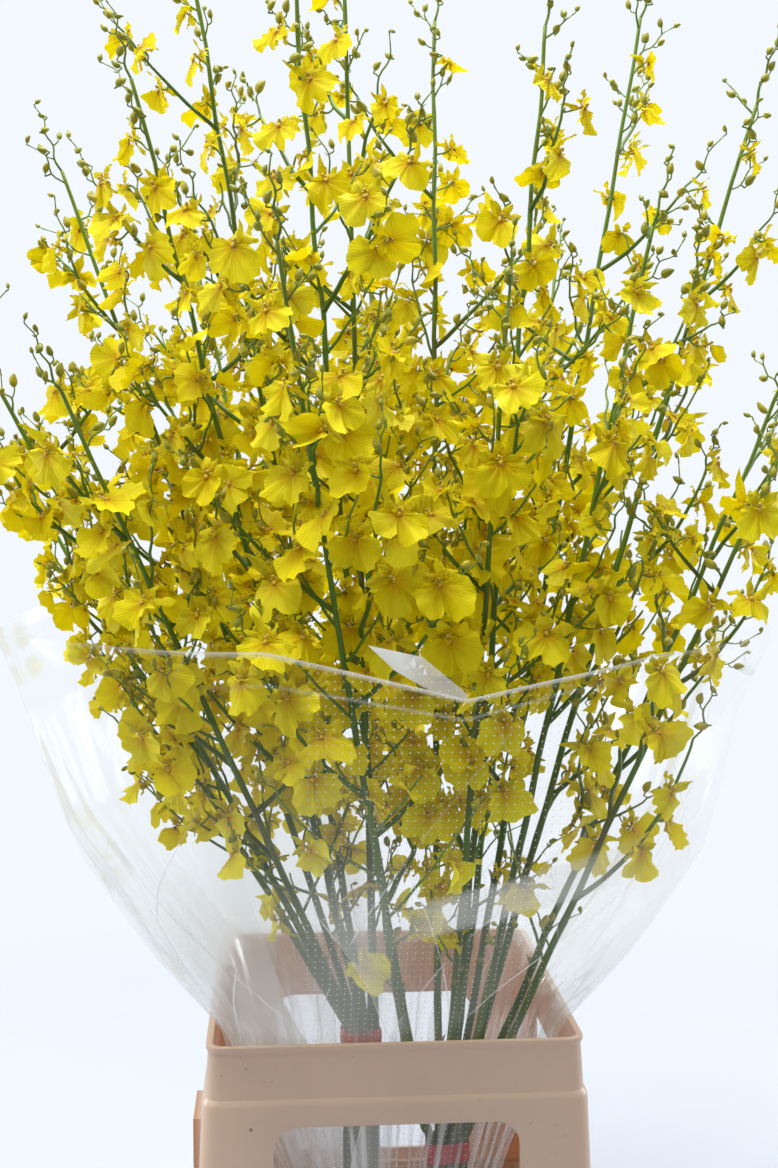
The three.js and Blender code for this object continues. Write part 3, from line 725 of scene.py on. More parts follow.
def bud_twig(build, start, direction, long, nodes, radius, rng, ripe):
    """A thin zigzag twig with a hooked bud at each joint and small buds at its end."""
    side = unit(cross(direction, unit(rng.normal(size=3))))
    while nodes > 1 and not inside(start + direction * (long + 6), 3.0):
        long *= 0.8
        nodes -= 1
    long, nodes = max(long, 6), max(nodes, 1)
    points = [start]
    for i in range(nodes):
        heading = unit(direction + side * (0.32 * hand(i)) + rng.normal(size=3) * 0.06)
        points.append(points[-1] + heading * long / nodes)
    line = smooth_line(points, 3 * nodes + 1)
    radii = np.linspace(radius, max(radius * 0.5, 0.42), len(line))
    rand = rng.uniform(0, 1)
    tube(build, line, radii, ROUND["thin"], STEM, TONE["twig"], rand)
    for i, joint in enumerate(points[1:]):
        share, swing = (i + 1) / nodes, side * hand(i)
        away = unit(swing + direction * 0.45 + rng.normal(size=3) * 0.25)
        if i == nodes - 1:
            away = unit(direction + swing * 0.3)
        ends = unit(direction * 0.35 + UP * rng.uniform(-0.2, 1.0) - swing * rng.uniform(-0.2, 0.9)
                    + rng.normal(size=3) * 0.3)
        size = mix(1.0, 0.5, share) * rng.uniform(0.85, 1.15)
        hook = mix(9.5, 4.0, share)
        if not inside(joint + away * hook + ends * 8 * size, 1.0):
            continue
        end = add_hook(build, joint, away, ends, hook, 0.55, rand, rng.uniform(0.2, 1.0))
        ripeness = limit(ripe * size + rng.uniform(-0.2, 0.2), 0, 1)
        add_bud(build, end, ends, 9.4 * size, 3.0 * size, rand, ripeness)
        if rng.uniform() < 0.4:
            add_bract(build, joint, heading, -away, 3.5, rand)


def make_spray(s, greens, petals):
    green, bloom = Build(), Build()
    rng = np.random.default_rng(100 + s["id"])
    shade = rng.uniform(0, 1)
    band, first, tip = s["band"], s["first"], s["tip"][2]
    sway = unit(around(s["id"]))

    def stem_share(z):
        return limit((z - band) / (tip - band), 0, 1)

    def stem_at(z):
        return stem_point(s, z) + sway * zigzag(z / JOINT, 1.1) * min(4 * stem_share(z), 1)

    def stem_radius(z):
        return mix(3.0, 1.25, stem_share(z) ** 0.85) + 0.35 * max(0, 1 - abs((z / JOINT) % 1 - 0.5) * 12)

    # the stem, with faint joints that swing to and fro
    heights = np.concatenate([np.linspace(STEM_FOOT, band, 10)[:-1], np.linspace(band, tip, 70)])
    line, radii = [stem_at(z) for z in heights], [stem_radius(z) for z in heights]
    tube(green, line, radii, ROUND["stem"], STEM, TONE["stem"], shade)
    top = unit(stem_point(s, tip) - stem_point(s, tip - 20))
    bud_twig(green, stem_at(tip), top, 46, 5, 1.0, rng, 0.3)
    # small twigs of buds near the top of the stem, and a few low ones
    for k in range(4):
        direction = blend((top, 0.7), (around(s["id"] * 2.1 + k * TURN, 0.25), 1))
        bud_twig(green, stem_at(tip - 8 - 24 * k), direction, rng.uniform(22, 44), 3 + (k % 2), 0.8, rng,
                 0.25 + 0.1 * k)
    for k in range(3):
        z = COLLAR_TOP + 22 + 34 * k + rng.uniform(0, 25)
        flat, long = around(rng.uniform(0, tau)), rng.uniform(24, 48)
        direction = blend((flat, 0.8), (outward(stem_at(z)), 0.4), (UP, 0.9))
        if z < first and rng.uniform() < 0.6 and roomy(stem_at(z) + direction * (long + 8), 6):
            nodes = int(rng.integers(2, 5))
            bud_twig(green, stem_at(z), direction, long, nodes, 0.8, rng, rng.uniform(0.3, 0.9))
    for z in np.arange(band + 60, first, 58):
        add_bract(green, stem_at(z), UP, around(rng.uniform(0, tau)) * 1.6, 9, shade)

    def add_twig(line, curve, radii, part, scale, tip):
        radii = np.linspace(*radii, len(line))
        tube(green, line, radii, ROUND[part], STEM, TONE[part], shade, tip=tip)
        add_bract(green, line[0], UP, unit(curve_direction(curve, 0) * [1, 1, 0.2]), scale, shade)

    def end_in_buds(line, curve, long, nodes, radius, ripe):
        bud_twig(green, line[-1], curve_direction(curve, 1), rng.uniform(*long), int(rng.integers(*nodes)),
                 radius, rng, rng.uniform(*ripe))

    # where a place on the stem, a branch or a side twig is, by the key that flowers and side twigs name
    places = {-1: stem_at}
    for twig in s["twigs"]:
        curve, nodes = twig["curve"], joints(twig["reach"])
        across = unit(cross(curve_direction(curve, 0.5), UP))

        def twig_at(t, curve=curve, nodes=nodes, across=across):
            swing = zigzag((FLOWER_FIRST - t) / FLOWER_SPAN * (nodes - 1), 1.5)
            return curve_point(curve, t) + across * swing * limit(5 * t, 0, 1) * (1 if t < 1 else 0.6)

        places[twig["k"]] = twig_at
        line = [twig_at(t) for t in np.linspace(0, 1, max(int(twig["reach"] / 6), 12))]
        line[0] = stem_at(curve[0][2])
        low = mix(2.1, 1.5, limit((curve[0][2] - first) / (tip - first), 0, 1))
        add_twig(line, curve, (low, 0.85), "branch", 8, True)
        end_in_buds(line, curve, (26, 44), (3, 6), 0.8, (0.2, 0.8))
        # a bud here and there between the flowers
        for t in (0.86, 0.7, 0.5):
            if rng.uniform() < 0.55:
                p, along = twig_at(t), curve_direction(curve, t)
                away = unit(across * rng.choice([-1, 1]) + outward(p) * 0.5 + rng.normal(size=3) * 0.2)
                if rng.uniform() < 0.4:
                    bud_twig(green, p, blend((along, 0.5), (away, 1)), rng.uniform(16, 28), 2, 0.7, rng, 0.5)
                else:
                    ends = unit(UP * 0.8 + away * 0.3 + rng.normal(size=3) * 0.4)
                    end = add_hook(green, p, away, ends, 10, 0.6, shade, rng.uniform(0.2, 0.8))
                    add_bud(green, end, ends, rng.uniform(8, 11), rng.uniform(2.4, 3.2), rng.uniform(),
                            rng.uniform(0.2, 0.9))
                add_bract(green, p, along, away, 4, shade)

    for twig in s["more"]:
        curve, key = twig["curve"], twig["k"]
        if not any(f["branch"] == key for f in s["flowers"]):
            continue
        start = places[twig["base"]](twig["at"])
        across = unit(cross(curve_direction(curve, 0.5), UP))

        def side_at(t, curve=curve, across=across, start=start):
            swing = zigzag((SIDE_FIRST - t) / SIDE_STEP, 1.1) * limit(5 * t, 0, 1)
            return curve_point(curve, t) + (start - curve[0]) * (1 - t) + across * swing

        places[key] = side_at
        line = [side_at(t) for t in np.linspace(0, 1, 11)]
        add_twig(line, curve, (1.15, 0.7), "side", 5, False)
        if rng.uniform() < 0.7:
            end_in_buds(line, curve, (14, 30), (2, 4), 0.7, (0.2, 0.9))

    curves = {twig["k"]: twig["curve"] for twig in s["twigs"] + s["more"]}
    for f in s["flowers"]:
        back = add_flower(bloom, f, rng)
        node = places[f["branch"]](f["t"])
        away = blend((f["across"], 1.0), (f["stalk"], 0.5))
        long = float(np.linalg.norm(back - node))
        line = bezier(node, node + away * long * 0.5, back - f["front"] * long * 0.5, back, len(STALK_RADII))
        sides = ROUND["thin" if "more" in f else "stalk"]
        tube(green, line, STALK_RADII, sides, STEM, TONE["stalk"], shade, tip=False)
        if f["branch"] >= 0:
            add_bract(green, node, curve_direction(curves[f["branch"]], f["t"]), f["across"], 4, shade)
    name = f"spray_{s['id'] + 1:02d}"
    place(green.mesh(name + "_green", greens), name)
    place(bloom.mesh(name + "_bloom", petals), name)


# ---- materials


def paint(code):
    """A colour from its screen code."""
    rgb = [int(code[i : i + 2], 16) / 255 for i in (0, 2, 4)]
    return (*[c / 12.92 if c <= 0.04045 else ((c + 0.055) / 1.055) ** 2.4 for c in rgb], 1.0)


class Shader:
    """A material, and short words for its nodes. Text in place of a number is a colour's screen code."""

    def __init__(self, name):
        self.material = bpy.data.materials.new(name)
        self.material.use_nodes = True
        self.tree = self.material.node_tree
        self.tree.nodes.clear()

    def put(self, socket, value):
        if isinstance(value, bpy.types.NodeSocket):
            self.tree.links.new(value, socket)
        elif value is not None:
            socket.default_value = paint(value) if isinstance(value, str) else value

    def node(self, kind, inputs=(), out=0, **settings):
        n = self.tree.nodes.new("ShaderNode" + kind)
        for key, value in settings.items():
            setattr(n, key, value)
        for key, value in dict(inputs).items():
            self.put(n.inputs[key], value)
        return n.outputs[out] if len(n.outputs) else n

    def split(self, vector, into="XYZ"):
        n = self.tree.nodes.new("ShaderNodeSeparate" + into)
        self.put(n.inputs[0], vector)
        return n.outputs

    def attribute(self):
        return self.node("Attribute", out=1, attribute_name="grow")

    def grow(self):
        """The three numbers of a point: mostly how far along it is, how far across, and a random one."""
        return self.split(self.attribute())

    def place(self):
        return self.node("TexCoord", out=3)

    def math(self, what, a, b=None, c=None, clamp=False):
        values = {i: v for i, v in enumerate((a, b, c)) if v is not None}
        return self.node("Math", values, operation=what, use_clamp=clamp)

    def plus(self, a, b, clamp=False):
        return self.math("ADD", a, b, clamp=clamp)

    def times(self, a, b):
        return self.math("MULTIPLY", a, b)

    def size(self, a):
        return self.math("ABSOLUTE", a)

    def off(self, a, b):
        """How far one number is from another."""
        return self.size(self.math("SUBTRACT", a, b))

    def mix(self, share, a, b):
        return self.node("Mix", {0: share, 6: a, 7: b}, out=2, data_type="RGBA")

    def ramp(self, share, *stops):
        n = self.tree.nodes.new("ShaderNodeValToRGB")
        self.put(n.inputs[0], share)
        ends = n.color_ramp.elements
        while len(ends) < len(stops):
            ends.new(0.5)
        for end, (at, value) in zip(ends, stops):
            end.position = at
            end.color = paint(value) if isinstance(value, str) else (value, value, value, 1)
        return n.outputs[0]

    def noise(self, scale, where=None, detail=3.0, rough=0.5, stretch=None):
        where = where or self.place()
        if stretch:
            where = self.node("VectorMath", {0: where, 1: stretch}, operation="MULTIPLY")
        return self.node("TexNoise", {"Vector": where, "Scale": scale, "Detail": detail, "Roughness": rough})

    def blots(self, scale, *stops, **noise):
        return self.ramp(self.noise(scale, **noise), *stops)

    def cells(self, scale, *stops):
        """Round spots, one in each cell of a random pattern."""
        return self.ramp(self.node("TexVoronoi", {"Vector": self.place(), "Scale": scale}), *stops)

    def bump(self, height, distance, strength=1.0):
        return self.node("Bump", {"Height": height, "Distance": distance, "Strength": strength})

    def principled(self, colour, rough, specular=0.5, **inputs):
        inputs.update(Base_Color=colour, Roughness=rough, Specular_IOR_Level=specular)
        return self.node("BsdfPrincipled", {k.replace("_", " "): v for k, v in inputs.items()})

    def surface(self, *looks, **inputs):
        return self.done(self.principled(*looks, **inputs))

    def blend(self, share, first, second):
        return self.node("MixShader", {0: share, 1: first, 2: second})

    def done(self, shader):
        self.node("OutputMaterial", {0: shader})
        return self.material

    def glowing(self, share, skin, glow, normal=None):
        """A skin through which some of the light comes, in a colour of its own."""
        through = self.node("BsdfTranslucent", {"Color": glow, "Normal": normal})
        return self.done(self.blend(share, skin, through))


def petal_material(name, tepal=False):
    s = Shader(name)
    u, v, rand = s.grow()
    tone = s.plus(s.times(s.noise(70), 0.7), s.times(rand, 0.55))
    base = s.ramp(tone, (0.3, "f2e006"), (0.6, "faec12"), (0.95, "fdf534"))
    # painted shade: deeper ochre towards the neck, where the lip and petals meet the column; and fine veins
    # that fan out from it
    base = s.mix(s.ramp(u, (0.0, 0.8), (0.5, 0.0)), base, "e6ac02")
    wobble = s.times(s.noise(140, detail=1), 0.05)
    rays = s.math("SINE", s.times(s.plus(v, wobble), 16.0 if tepal else 95.0))
    rays = s.math("POWER", s.size(rays), 6.0)
    veins = s.times(rays, s.ramp(u, (0.05, 0.0), (0.3, 0.45), (0.75, 0.28), (1.0, 0.0)))
    base = s.mix(veins, base, "d8b000")
    if tepal:
        marks = s.times(s.blots(480, (0.5, 0.0), (0.6, 1.0), detail=2), s.ramp(u, (0.0, 0.9), (0.75, 0.1)))
        base = s.mix(marks, base, "8f6a12")
        green = s.plus(s.times(s.ramp(s.size(v), (0.0, 0.6), (0.6, 0.1)), rand), 0.1)
        base = s.mix(green, base, "b4b420")
    normal = s.bump(s.plus(s.times(rays, 0.5), s.noise(260)), 0.0005, 0.7)
    skin = s.principled(base, 0.55, 0.18, Normal=normal)
    return s.glowing(0.33, skin, s.mix(0.6, base, "ffe606"), normal)


def callus_material():
    s = Shader("crest")
    spots = s.blots(800, (0.4, 0.0), (0.55, 1.0))
    base = s.mix(s.times(spots, 0.6), "dcae14", "8c4a10")
    base = s.mix(s.ramp(s.grow()[0], (0.5, 0.0), (1.0, 0.5)), base, "e2c838")
    return s.surface(base, 0.45, 0.4, Normal=s.bump(s.noise(700), 0.0004))


def column_material():
    s = Shader("column")
    base = s.ramp(s.grow()[0], (0.0, "b0ae2c"), (0.5, "d2c030"), (0.8, "c8a02c"), (1.0, "dccc5c"))
    base = s.mix(s.blots(800, (0.48, 0.0), (0.66, 0.45)), base, "9a5a22")
    return s.surface(base, 0.42, 0.4)


def stem_material():
    s = Shader("stem")
    u = s.grow()[0]
    base = s.ramp(u, (0.0, "2f4c12"), (0.3, "3f6216"), (0.7, "5a7d1e"), (1.0, "95a42c"))
    stripe = s.noise(60, stretch=(1, 1, 0.12), detail=4)
    base = s.mix(s.ramp(stripe, (0.35, 0.0), (0.75, 0.5)), base, "6c9030")
    brown = s.times(s.blots(14, (0.5, 0.0), (0.68, 0.75), detail=4),
                    s.ramp(u, (0.1, 0.5), (0.5, 0.9), (0.9, 0.4)))
    base = s.mix(brown, base, "5c4a24")
    flecks = s.blots(900, (0.68, 0.0), (0.74, 0.6), detail=1)
    base = s.mix(flecks, base, "3a3417")
    height = s.plus(s.noise(900, stretch=(1, 1, 0.08)), s.noise(160))
    return s.surface(base, s.ramp(stripe, (0.3, 0.36), (0.8, 0.55)), 0.45, Normal=s.bump(height, 0.0003))


def bud_material():
    s = Shader("bud")
    u, v, rand = s.grow()
    young = s.ramp(u, (0.0, "7f9228"), (0.5, "aaa824"), (1.0, "868e28"))
    ripe = s.ramp(u, (0.0, "a8a422"), (0.45, "dcc414"), (1.0, "a89c22"))
    base = s.mix(s.ramp(v, (0.2, 0.0), (0.85, 1.0)), young, ripe)
    base = s.mix(s.blots(220, (0.45, 0.0), (0.75, 0.5)), base, "6f6a22")
    base = s.mix(s.times(rand, 0.35), base, "c2b642")
    return s.glowing(0.15, s.principled(base, 0.42, 0.45, Normal=s.bump(s.noise(500), 0.0002)), base)


def bract_material():
    s = Shader("bract")
    base = s.ramp(s.grow()[0], (0.0, "6a8434"), (0.5, "9a9a55"), (1.0, "8a6a3a"))
    return s.surface(base, 0.6, Normal=s.bump(s.noise(600), 0.0002))


def plastic_material():
    s = Shader("tan_plastic")
    base = s.blots(7, (0.3, "e1ccb2"), (0.7, "e8d3b9"), detail=5, rough=0.6)
    # soot specks and brown flecks, thicker in places, and scuffs from other buckets
    speck = s.times(s.cells(120.0, (0.05, 1.0), (0.1, 0.0)), s.blots(17, (0.5, 0.0), (0.62, 0.8), detail=4))
    base = s.mix(speck, base, "6e5546")
    base = s.mix(s.cells(34.0, (0.03, 0.75), (0.05, 0.0)), base, "4a372c")
    scuff = s.times(s.blots(60, (0.6, 0.0), (0.7, 0.6), stretch=(0.5, 0.5, 3.2), detail=6, rough=0.75),
                    s.blots(8, (0.55, 0.0), (0.66, 1.0), detail=2))
    base = s.mix(scuff, base, "8a7264")
    base = s.mix(s.blots(15, (0.64, 0.0), (0.78, 0.3)), base, "d2a06c")
    # painted glow: the thin grip lugs are painted orange, as if lit through from behind
    x, _, z = s.split(s.place())
    lug = s.ramp(s.math("SUBTRACT", s.size(x), 0.1), (0.0275, 0.0), (0.0295, 0.75))
    lug = s.times(lug, s.math("GREATER_THAN", z, GRIP["low"] * MM - 0.002))
    base = s.mix(lug, base, "c8894c")
    rough = s.blots(45, (0.3, 0.3), (0.75, 0.46), detail=4)
    height = s.plus(s.noise(420, detail=2), s.times(s.noise(20, detail=2), 2.0))
    normal = s.bump(height, 0.0003, 0.5)
    # thin enough that light from behind comes through, orange
    skin = s.principled(base, rough, 0.8, Sheen_Weight=0.35, Sheen_Roughness=0.3, Coat_Weight=0.5,
                        Coat_Roughness=0.2, Coat_IOR=1.6, Normal=normal)
    return s.glowing(0.3, skin, s.mix(0.6, base, "ffa050"), normal)


def water_material():
    s = Shader("water")
    ripple = s.bump(s.noise(30, detail=2), 0.001, 0.4)
    return s.surface("e6f0e6", 0.03, IOR=1.33, Transmission_Weight=1.0, Normal=ripple)


def band_material():
    s = Shader("red_band")
    base = s.blots(60, (0.3, "a8121f"), (0.7, "d2222c"), stretch=(1, 1, 3))
    height = s.noise(240, stretch=(0.2, 0.2, 4))
    return s.surface(base, 0.45, Coat_Weight=0.15, Normal=s.bump(height, 0.0006))


# turn, scale and painted haze (a white painted reflection) of each set of folded facets, and the width of its
# painted crease highlights
PAINTED_FACETS = [(0.85, 5.0, 0.62, 0.014), (-0.7, 4.0, 0.5, 0.011), (0.08, 9.0, 0.34, 0.0)]
HOLES_IN_A_METRE = 222.0


def film_material():
    """Clear crinkled film: see-through, with straight creases, folded facets, holes and gloss; the white haze
    on facets, creases, folds and edges is painted reflection.
    """
    s = Shader("film")
    where = s.attribute()
    angle, up, rim = s.split(where)
    x, y, z = s.split(s.place())
    from_front, in_front = s.size(angle), s.math("LESS_THAN", y, 0.0)
    # ramps start at 0, so the height over the collar and the place across are raised by 0.2 m
    up, across = s.plus(up, 0.2), s.plus(x, 0.2)
    # most painted haze, white reflection of the many layers, lies low on the left, where the film is gathered
    low = s.ramp(up, (0.1, 1.0), (0.25, 0.9), (0.29, 0.7), (0.34, 0.2), (0.42, 0.015), (0.6, 0.0))
    left = s.ramp(across, (0.04, 0.12), (0.09, 0.9), (0.18, 1.0), (0.205, 0.2), (0.29, 0.14), (0.33, 0.2))
    gathered = s.times(low, left)
    painted_haze_and_holes, heights = [], []
    # painted reflections: each folded facet gets its own share of white, and its creases thin white lines
    for turn, scale, share, line in PAINTED_FACETS:
        strip = s.node("VectorMath", {0: where, 1: (1, 2.6, 0)}, operation="MULTIPLY")
        strip = s.split(s.node("VectorRotate", {"Vector": strip, "Angle": turn}, rotation_type="Z_AXIS"))[0]
        strips = {"W": s.times(strip, scale), "Scale": 1.0}
        tone = s.split(s.node("TexVoronoi", strips, out=1, voronoi_dimensions="1D"), "Color")[0]
        painted_haze_and_holes.append(s.times(s.ramp(tone, (0.5, 0.0), (0.52, 0.4 * share), (1.0, share)), gathered))
        heights.append(tone)
        if line:
            edge = s.node("TexVoronoi", strips, voronoi_dimensions="1D", feature="DISTANCE_TO_EDGE")
            broken = s.blots(5, (0.46, 0.0), (0.56, 1.0), where=where, detail=2)
            painted_crease_line = s.times(s.ramp(edge, (0.0, 0.8), (line, 0.0)), broken)
            painted_haze_and_holes.append(s.times(painted_crease_line, s.plus(low, 0.1)))
    painted_haze_and_holes.append(s.times(gathered, 0.34))
    # painted reflection: a fold across the front, white where the film lies double there
    rise = s.off(z, s.math("MULTIPLY_ADD", x, 0.3, 0.424))
    painted_double_fold = s.times(s.ramp(rise, (0.0115, 0.4), (0.0125, 0.0)),
                     s.ramp(across, (0.19, 0.0), (0.22, 1.0), (0.3, 0.8), (0.34, 0.0)))
    painted_haze_and_holes.append(s.times(painted_double_fold, in_front))
    # painted reflection: white streaks where it is squeezed inside the collar
    squeezed = s.ramp(up, (0.18, 1.0), (0.205, 0.12), (0.25, 0.0))
    painted_streaks = s.times(s.blots(5, (0.5, 0.0), (0.72, 0.6), where=where, stretch=(5, 0.6, 1)), squeezed)
    painted_haze_and_holes.append(painted_streaks)
    # faint painted haze in soft patches all over
    painted_haze_and_holes.append(s.blots(2.6, (0.55, 0.0), (0.75, 0.03), where=where))
    # the panel of holes
    far = [s.math("SUBTRACT", s.math("FRACT", s.times(way, HOLES_IN_A_METRE)), 0.5) for way in (x, z)]
    far = s.math("SQRT", s.plus(*[s.times(way, way) for way in far]))
    panel = s.times(s.ramp(s.off(x, 0.014), (0.07, 1.0), (0.075, 0.0)), in_front)
    painted_haze_and_holes.append(s.times(s.ramp(far, (0.065, 0.8), (0.095, 0.0)), panel))
    # painted highlights: a white line along the cut edge, white haze on the folded flap, and a white crease
    # line along the edge at the front
    front = s.ramp(from_front, (0.3, 1.0), (0.75, 0.25), (0.95, 0.08))
    edge = s.ramp(s.times(rim, 0.5), (0.4987, 0.0), (0.499, 0.75), (0.51, 0.7), (0.6, 0.36))
    painted_haze_and_holes.append(s.times(edge, front))
    line = s.off(rim, s.plus(0.968, s.times(angle, 0.03)))
    painted_crease_line = s.ramp(line, (0.0, 0.22), (0.0014, 0.0))
    painted_haze_and_holes.append(s.times(painted_crease_line, s.ramp(from_front, (0.2, 1.0), (0.5, 0.0))))
    white_share = 0.0
    for more in painted_haze_and_holes:
        white_share = s.plus(white_share, more, clamp=True)
    # white for the painted reflections and for the holes, over the clear film
    white = s.blend(0.5, *[s.node(kind, {"Color": "f4f6fa"}) for kind in ("BsdfDiffuse", "BsdfTranslucent")])
    body = s.blend(white_share, s.node("BsdfTransparent", {"Color": (0.988, 0.992, 0.996, 1)}), white)
    height = s.plus(heights[0], s.times(heights[1], 0.5))
    normal = s.bump(s.plus(height, painted_streaks), 0.001, 0.4)
    gloss = s.node("BsdfGlossy", {"Color": (1, 1, 1, 1), "Roughness": 0.14, "Normal": normal})
    share = s.times(s.node("Fresnel", {"IOR": 1.4, "Normal": normal}), 0.25)
    return s.done(s.blend(share, body, gloss))


# ---- container


def round_corners(half_x, low, high, corner, steps):
    """Points of a rectangle with round corners, from low to high in its second number."""
    points = []
    for quarter in range(4):
        for i in range(steps + 1):
            a = pi / 2 * (quarter + i / steps)
            x = (half_x - corner) * (1 if quarter in (0, 3) else -1) + corner * cos(a)
            y = (high - corner if quarter < 2 else low + corner) + corner * sin(a)
            points.append((x, y))
    return points


def square_ring(z, half, radius=CORNER):
    return [(x, y, z) for x, y in round_corners(half, -half, half, radius, 8)]


def solid_mesh(name, rings):
    """A closed loft through rings of points, as a mesh object in metres."""
    n = len(rings[0])
    points = np.array([p for ring in rings for p in ring]) * MM
    faces = grid_faces(len(rings), n)
    faces.append(tuple(reversed(range(n))))
    faces.append(tuple(range((len(rings) - 1) * n, len(rings) * n)))
    mesh = bpy.data.meshes.new(name)
    mesh.from_pydata(points.tolist(), [], faces)
    return new_object(name, mesh)


def block(name, low, high):
    (x0, y0, z0), (x1, y1, z1) = low, high
    return solid_mesh(name, [[(x0, y0, z), (x1, y0, z), (x1, y1, z), (x0, y1, z)] for z in (z0, z1)])


def window_cutter(name, w, sideways):
    points = round_corners(w["half"], w["low"], w["high"], w["corner"], 6)
    rings = [[((-y, x, z) if sideways else (x, y, z)) for x, z in points] for y in (200, -200)]
    return solid_mesh(name, rings)


def use_modifiers(made):
    """Puts what the modifiers make in place of the object's own mesh."""
    bpy.context.view_layer.update()
    mesh = bpy.data.meshes.new_from_object(made.evaluated_get(bpy.context.evaluated_depsgraph_get()))
    made.modifiers.clear()
    made.data = mesh
    return mesh


def cut(target, tool, how="DIFFERENCE"):
    change = target.modifiers.new("cut", "BOOLEAN")
    change.operation, change.solver, change.object = how, "EXACT", tool
    use_modifiers(target)
    bpy.data.objects.remove(tool)


def finish_solid(made, material, bevel):
    """Rounds the edges, shades smoothly across the soft ones, and sets the material."""
    edge = made.modifiers.new("edge", "BEVEL")
    edge.width, edge.segments, edge.limit_method, edge.angle_limit = bevel * MM, 2, "ANGLE", radians(32)
    mesh = use_modifiers(made)
    mesh.materials.clear()
    mesh.materials.append(material)
    mesh.shade_smooth()
    bm = bmesh.new()
    bm.from_mesh(mesh)
    for e in bm.edges:
        e.smooth = not (len(e.link_faces) == 2 and e.calc_face_angle(0) > radians(38))
    bm.to_mesh(mesh)
    bm.free()


def make_container(plastic):
    b, c = BUCKET, COLLAR
    inner, lip, lap = CORNER - WALL, b["height"] - b["rim_high"], b["height"] + GAP

    def loft(name, rings, radius=CORNER):
        return solid_mesh(name, [square_ring(z, half, radius) for z, half in rings])

    bucket = loft("bucket_body", [(0, b["bottom"] - 3), (3, b["bottom"]), (lip, b["top"]), (lip, b["rim"]),
                                  (b["height"], b["rim"])])
    cut(bucket, loft("hollow", [(WALL, b["bottom"] - WALL - 2), (WALL + 2, b["bottom"] - WALL),
                                (b["height"] + 1, b["top"] - WALL)], inner))
    finish_solid(bucket, plastic, 0.8)
    place(bucket, "bucket")

    def wall(z):
        return c["low_half"] + (c["step_half"] - c["low_half"]) * (z - c["low"]) / (c["step"] - c["low"])

    step, high, thin = c["step"], c["high"], c["high_half"]
    collar = loft("collar_body", [
        (c["low"], c["low_half"]), (step - 1, wall(step - 1)), (step + 1, c["step_half"] - 0.6),
        (step + 3, c["ring_half"]), (high - 4.6, thin + 0.1), (high - 3.4, thin + 0.7),
        (high - 2.4, thin + c["bead"]), (high, thin + c["bead"])])
    for side in (-1, 1):
        x = sorted((side * 100, side * GRIP["reach"]))
        lug = block("lug", (x[0], -GRIP["half"], GRIP["low"]), (x[1], GRIP["half"], GRIP["high"]))
        cut(collar, lug, "UNION")
        x = sorted((side * wall(GRIP["low"]), side * (GRIP["reach"] - WALL)))
        cut(collar, block("inside", (x[0], WALL - GRIP["half"], GRIP["low"] - 1),
                          (x[1], GRIP["half"] - WALL, GRIP["high"] - WALL)))
    cut(collar, loft("hollow", [
        (c["low"] - 1, wall(c["low"]) - WALL), (lap, wall(lap) - WALL), (lap, c["ledge"]),
        (lap + WALL, c["ledge"]), (lap + WALL, wall(lap + WALL) - WALL), (step, c["step_half"] - WALL),
        (step + 3, c["ring_half"] - WALL), (high + 1, thin - WALL)], inner))
    cut(collar, window_cutter("window", WINDOW, False))
    cut(collar, window_cutter("handhole", HANDHOLE, True))
    finish_solid(collar, plastic, 0.9)
    place(collar, "collar")


def hull(points):
    ordered = sorted(map(tuple, points))

    def chain(items):
        kept = []
        for p in items:
            while len(kept) > 1:
                (ax, ay), (bx, by) = kept[-2:]
                if (bx - ax) * (p[1] - ay) - (by - ay) * (p[0] - ax) > 0:
                    break
                kept.pop()
            kept.append(p)
        return kept[:-1]

    return chain(ordered) + chain(ordered[::-1])


# the tape's section: share of its thickness, share of its height
TAPE = [(0.05, 0), (0.5, 0), (0.85, 0.08), (1.0, 0.22), (0.93, 0.3), (1.0, 0.4), (1.0, 0.6), (0.93, 0.68),
        (1.0, 0.78), (0.9, 0.93), (0.5, 1), (0.05, 1)]


def make_band(name, band, sprays, material):
    """Turns of red tape round a bundle, in a slightly bulged ring."""
    ring = np.array([(cos(a), sin(a)) for a in circle(24)])
    outline = np.array(hull(np.concatenate([s["foot"] + ring * (STEM_LOW + GAP) for s in sprays])))
    steps = np.linalg.norm(np.roll(outline, -1, 0) - outline, axis=1)
    at = np.concatenate([[0], np.cumsum(steps)])
    closed = np.vstack([outline, outline[:1]])
    way = np.linspace(0, at[-1], 121)[:-1]
    line = np.stack([np.interp(way, at, closed[:, 0]), np.interp(way, at, closed[:, 1])], -1)
    step = np.roll(line, -1, 0) - np.roll(line, 1, 0)
    out = np.stack([step[:, 1], -step[:, 0]], -1)
    out /= np.linalg.norm(out, axis=1)[:, None]
    low, high = band - BAND["high"], band
    rings = []
    for share, h in TAPE:
        z = low + (high - low) * h + 0.35 * np.sin(way / at[-1] * tau * 3) * (h - 0.5)
        rings.append(np.column_stack([line + out * (BAND["thick"] * share), z]))
    faces = grid_faces(len(TAPE), len(line))
    last = (len(TAPE) - 1) * len(line)
    faces += [(last + i, last + (i + 1) % len(line), (i + 1) % len(line), i) for i in range(len(line))]
    build = Build()
    build.add(np.vstack(rings), [f[::-1] for f in faces])
    place(build.mesh(f"band_{name}_tape", [material]), f"band_{name}")


# ---- sleeve

FOLDS, FILM_COLUMNS, FILM_ROWS = 34, 330, 56
# how far the film may come forward of the part's box
FILM_OVER = 14
# the folded flap beside the V: across and up, and how far it stands off the film; then its share as a rim,
# which sets its painted haze
FLAP = [(-26, 594, 2), (2, 588, 4), (27, 567, 3), (-12, 581, 5), (8, 569, 7.4), (24, 564, 5)]
FLAP_RIM = 1.9


def turn_between(a, b):
    return (a - b + pi) % (tau) - pi


def make_folds():
    """Long straight folds: the angle at the neck and at the top, height, width, and where each fades."""
    rng = np.random.default_rng(5)
    folds = []
    for i in range(FOLDS):
        top = tau * (i + rng.uniform(-0.4, 0.4)) / FOLDS
        neck = top + rng.uniform(-0.28, 0.28)
        folds.append((neck, top, rng.uniform(-5.5, 4.5), rng.uniform(0.05, 0.16), rng.uniform(0.3, 1.2)))
    return folds


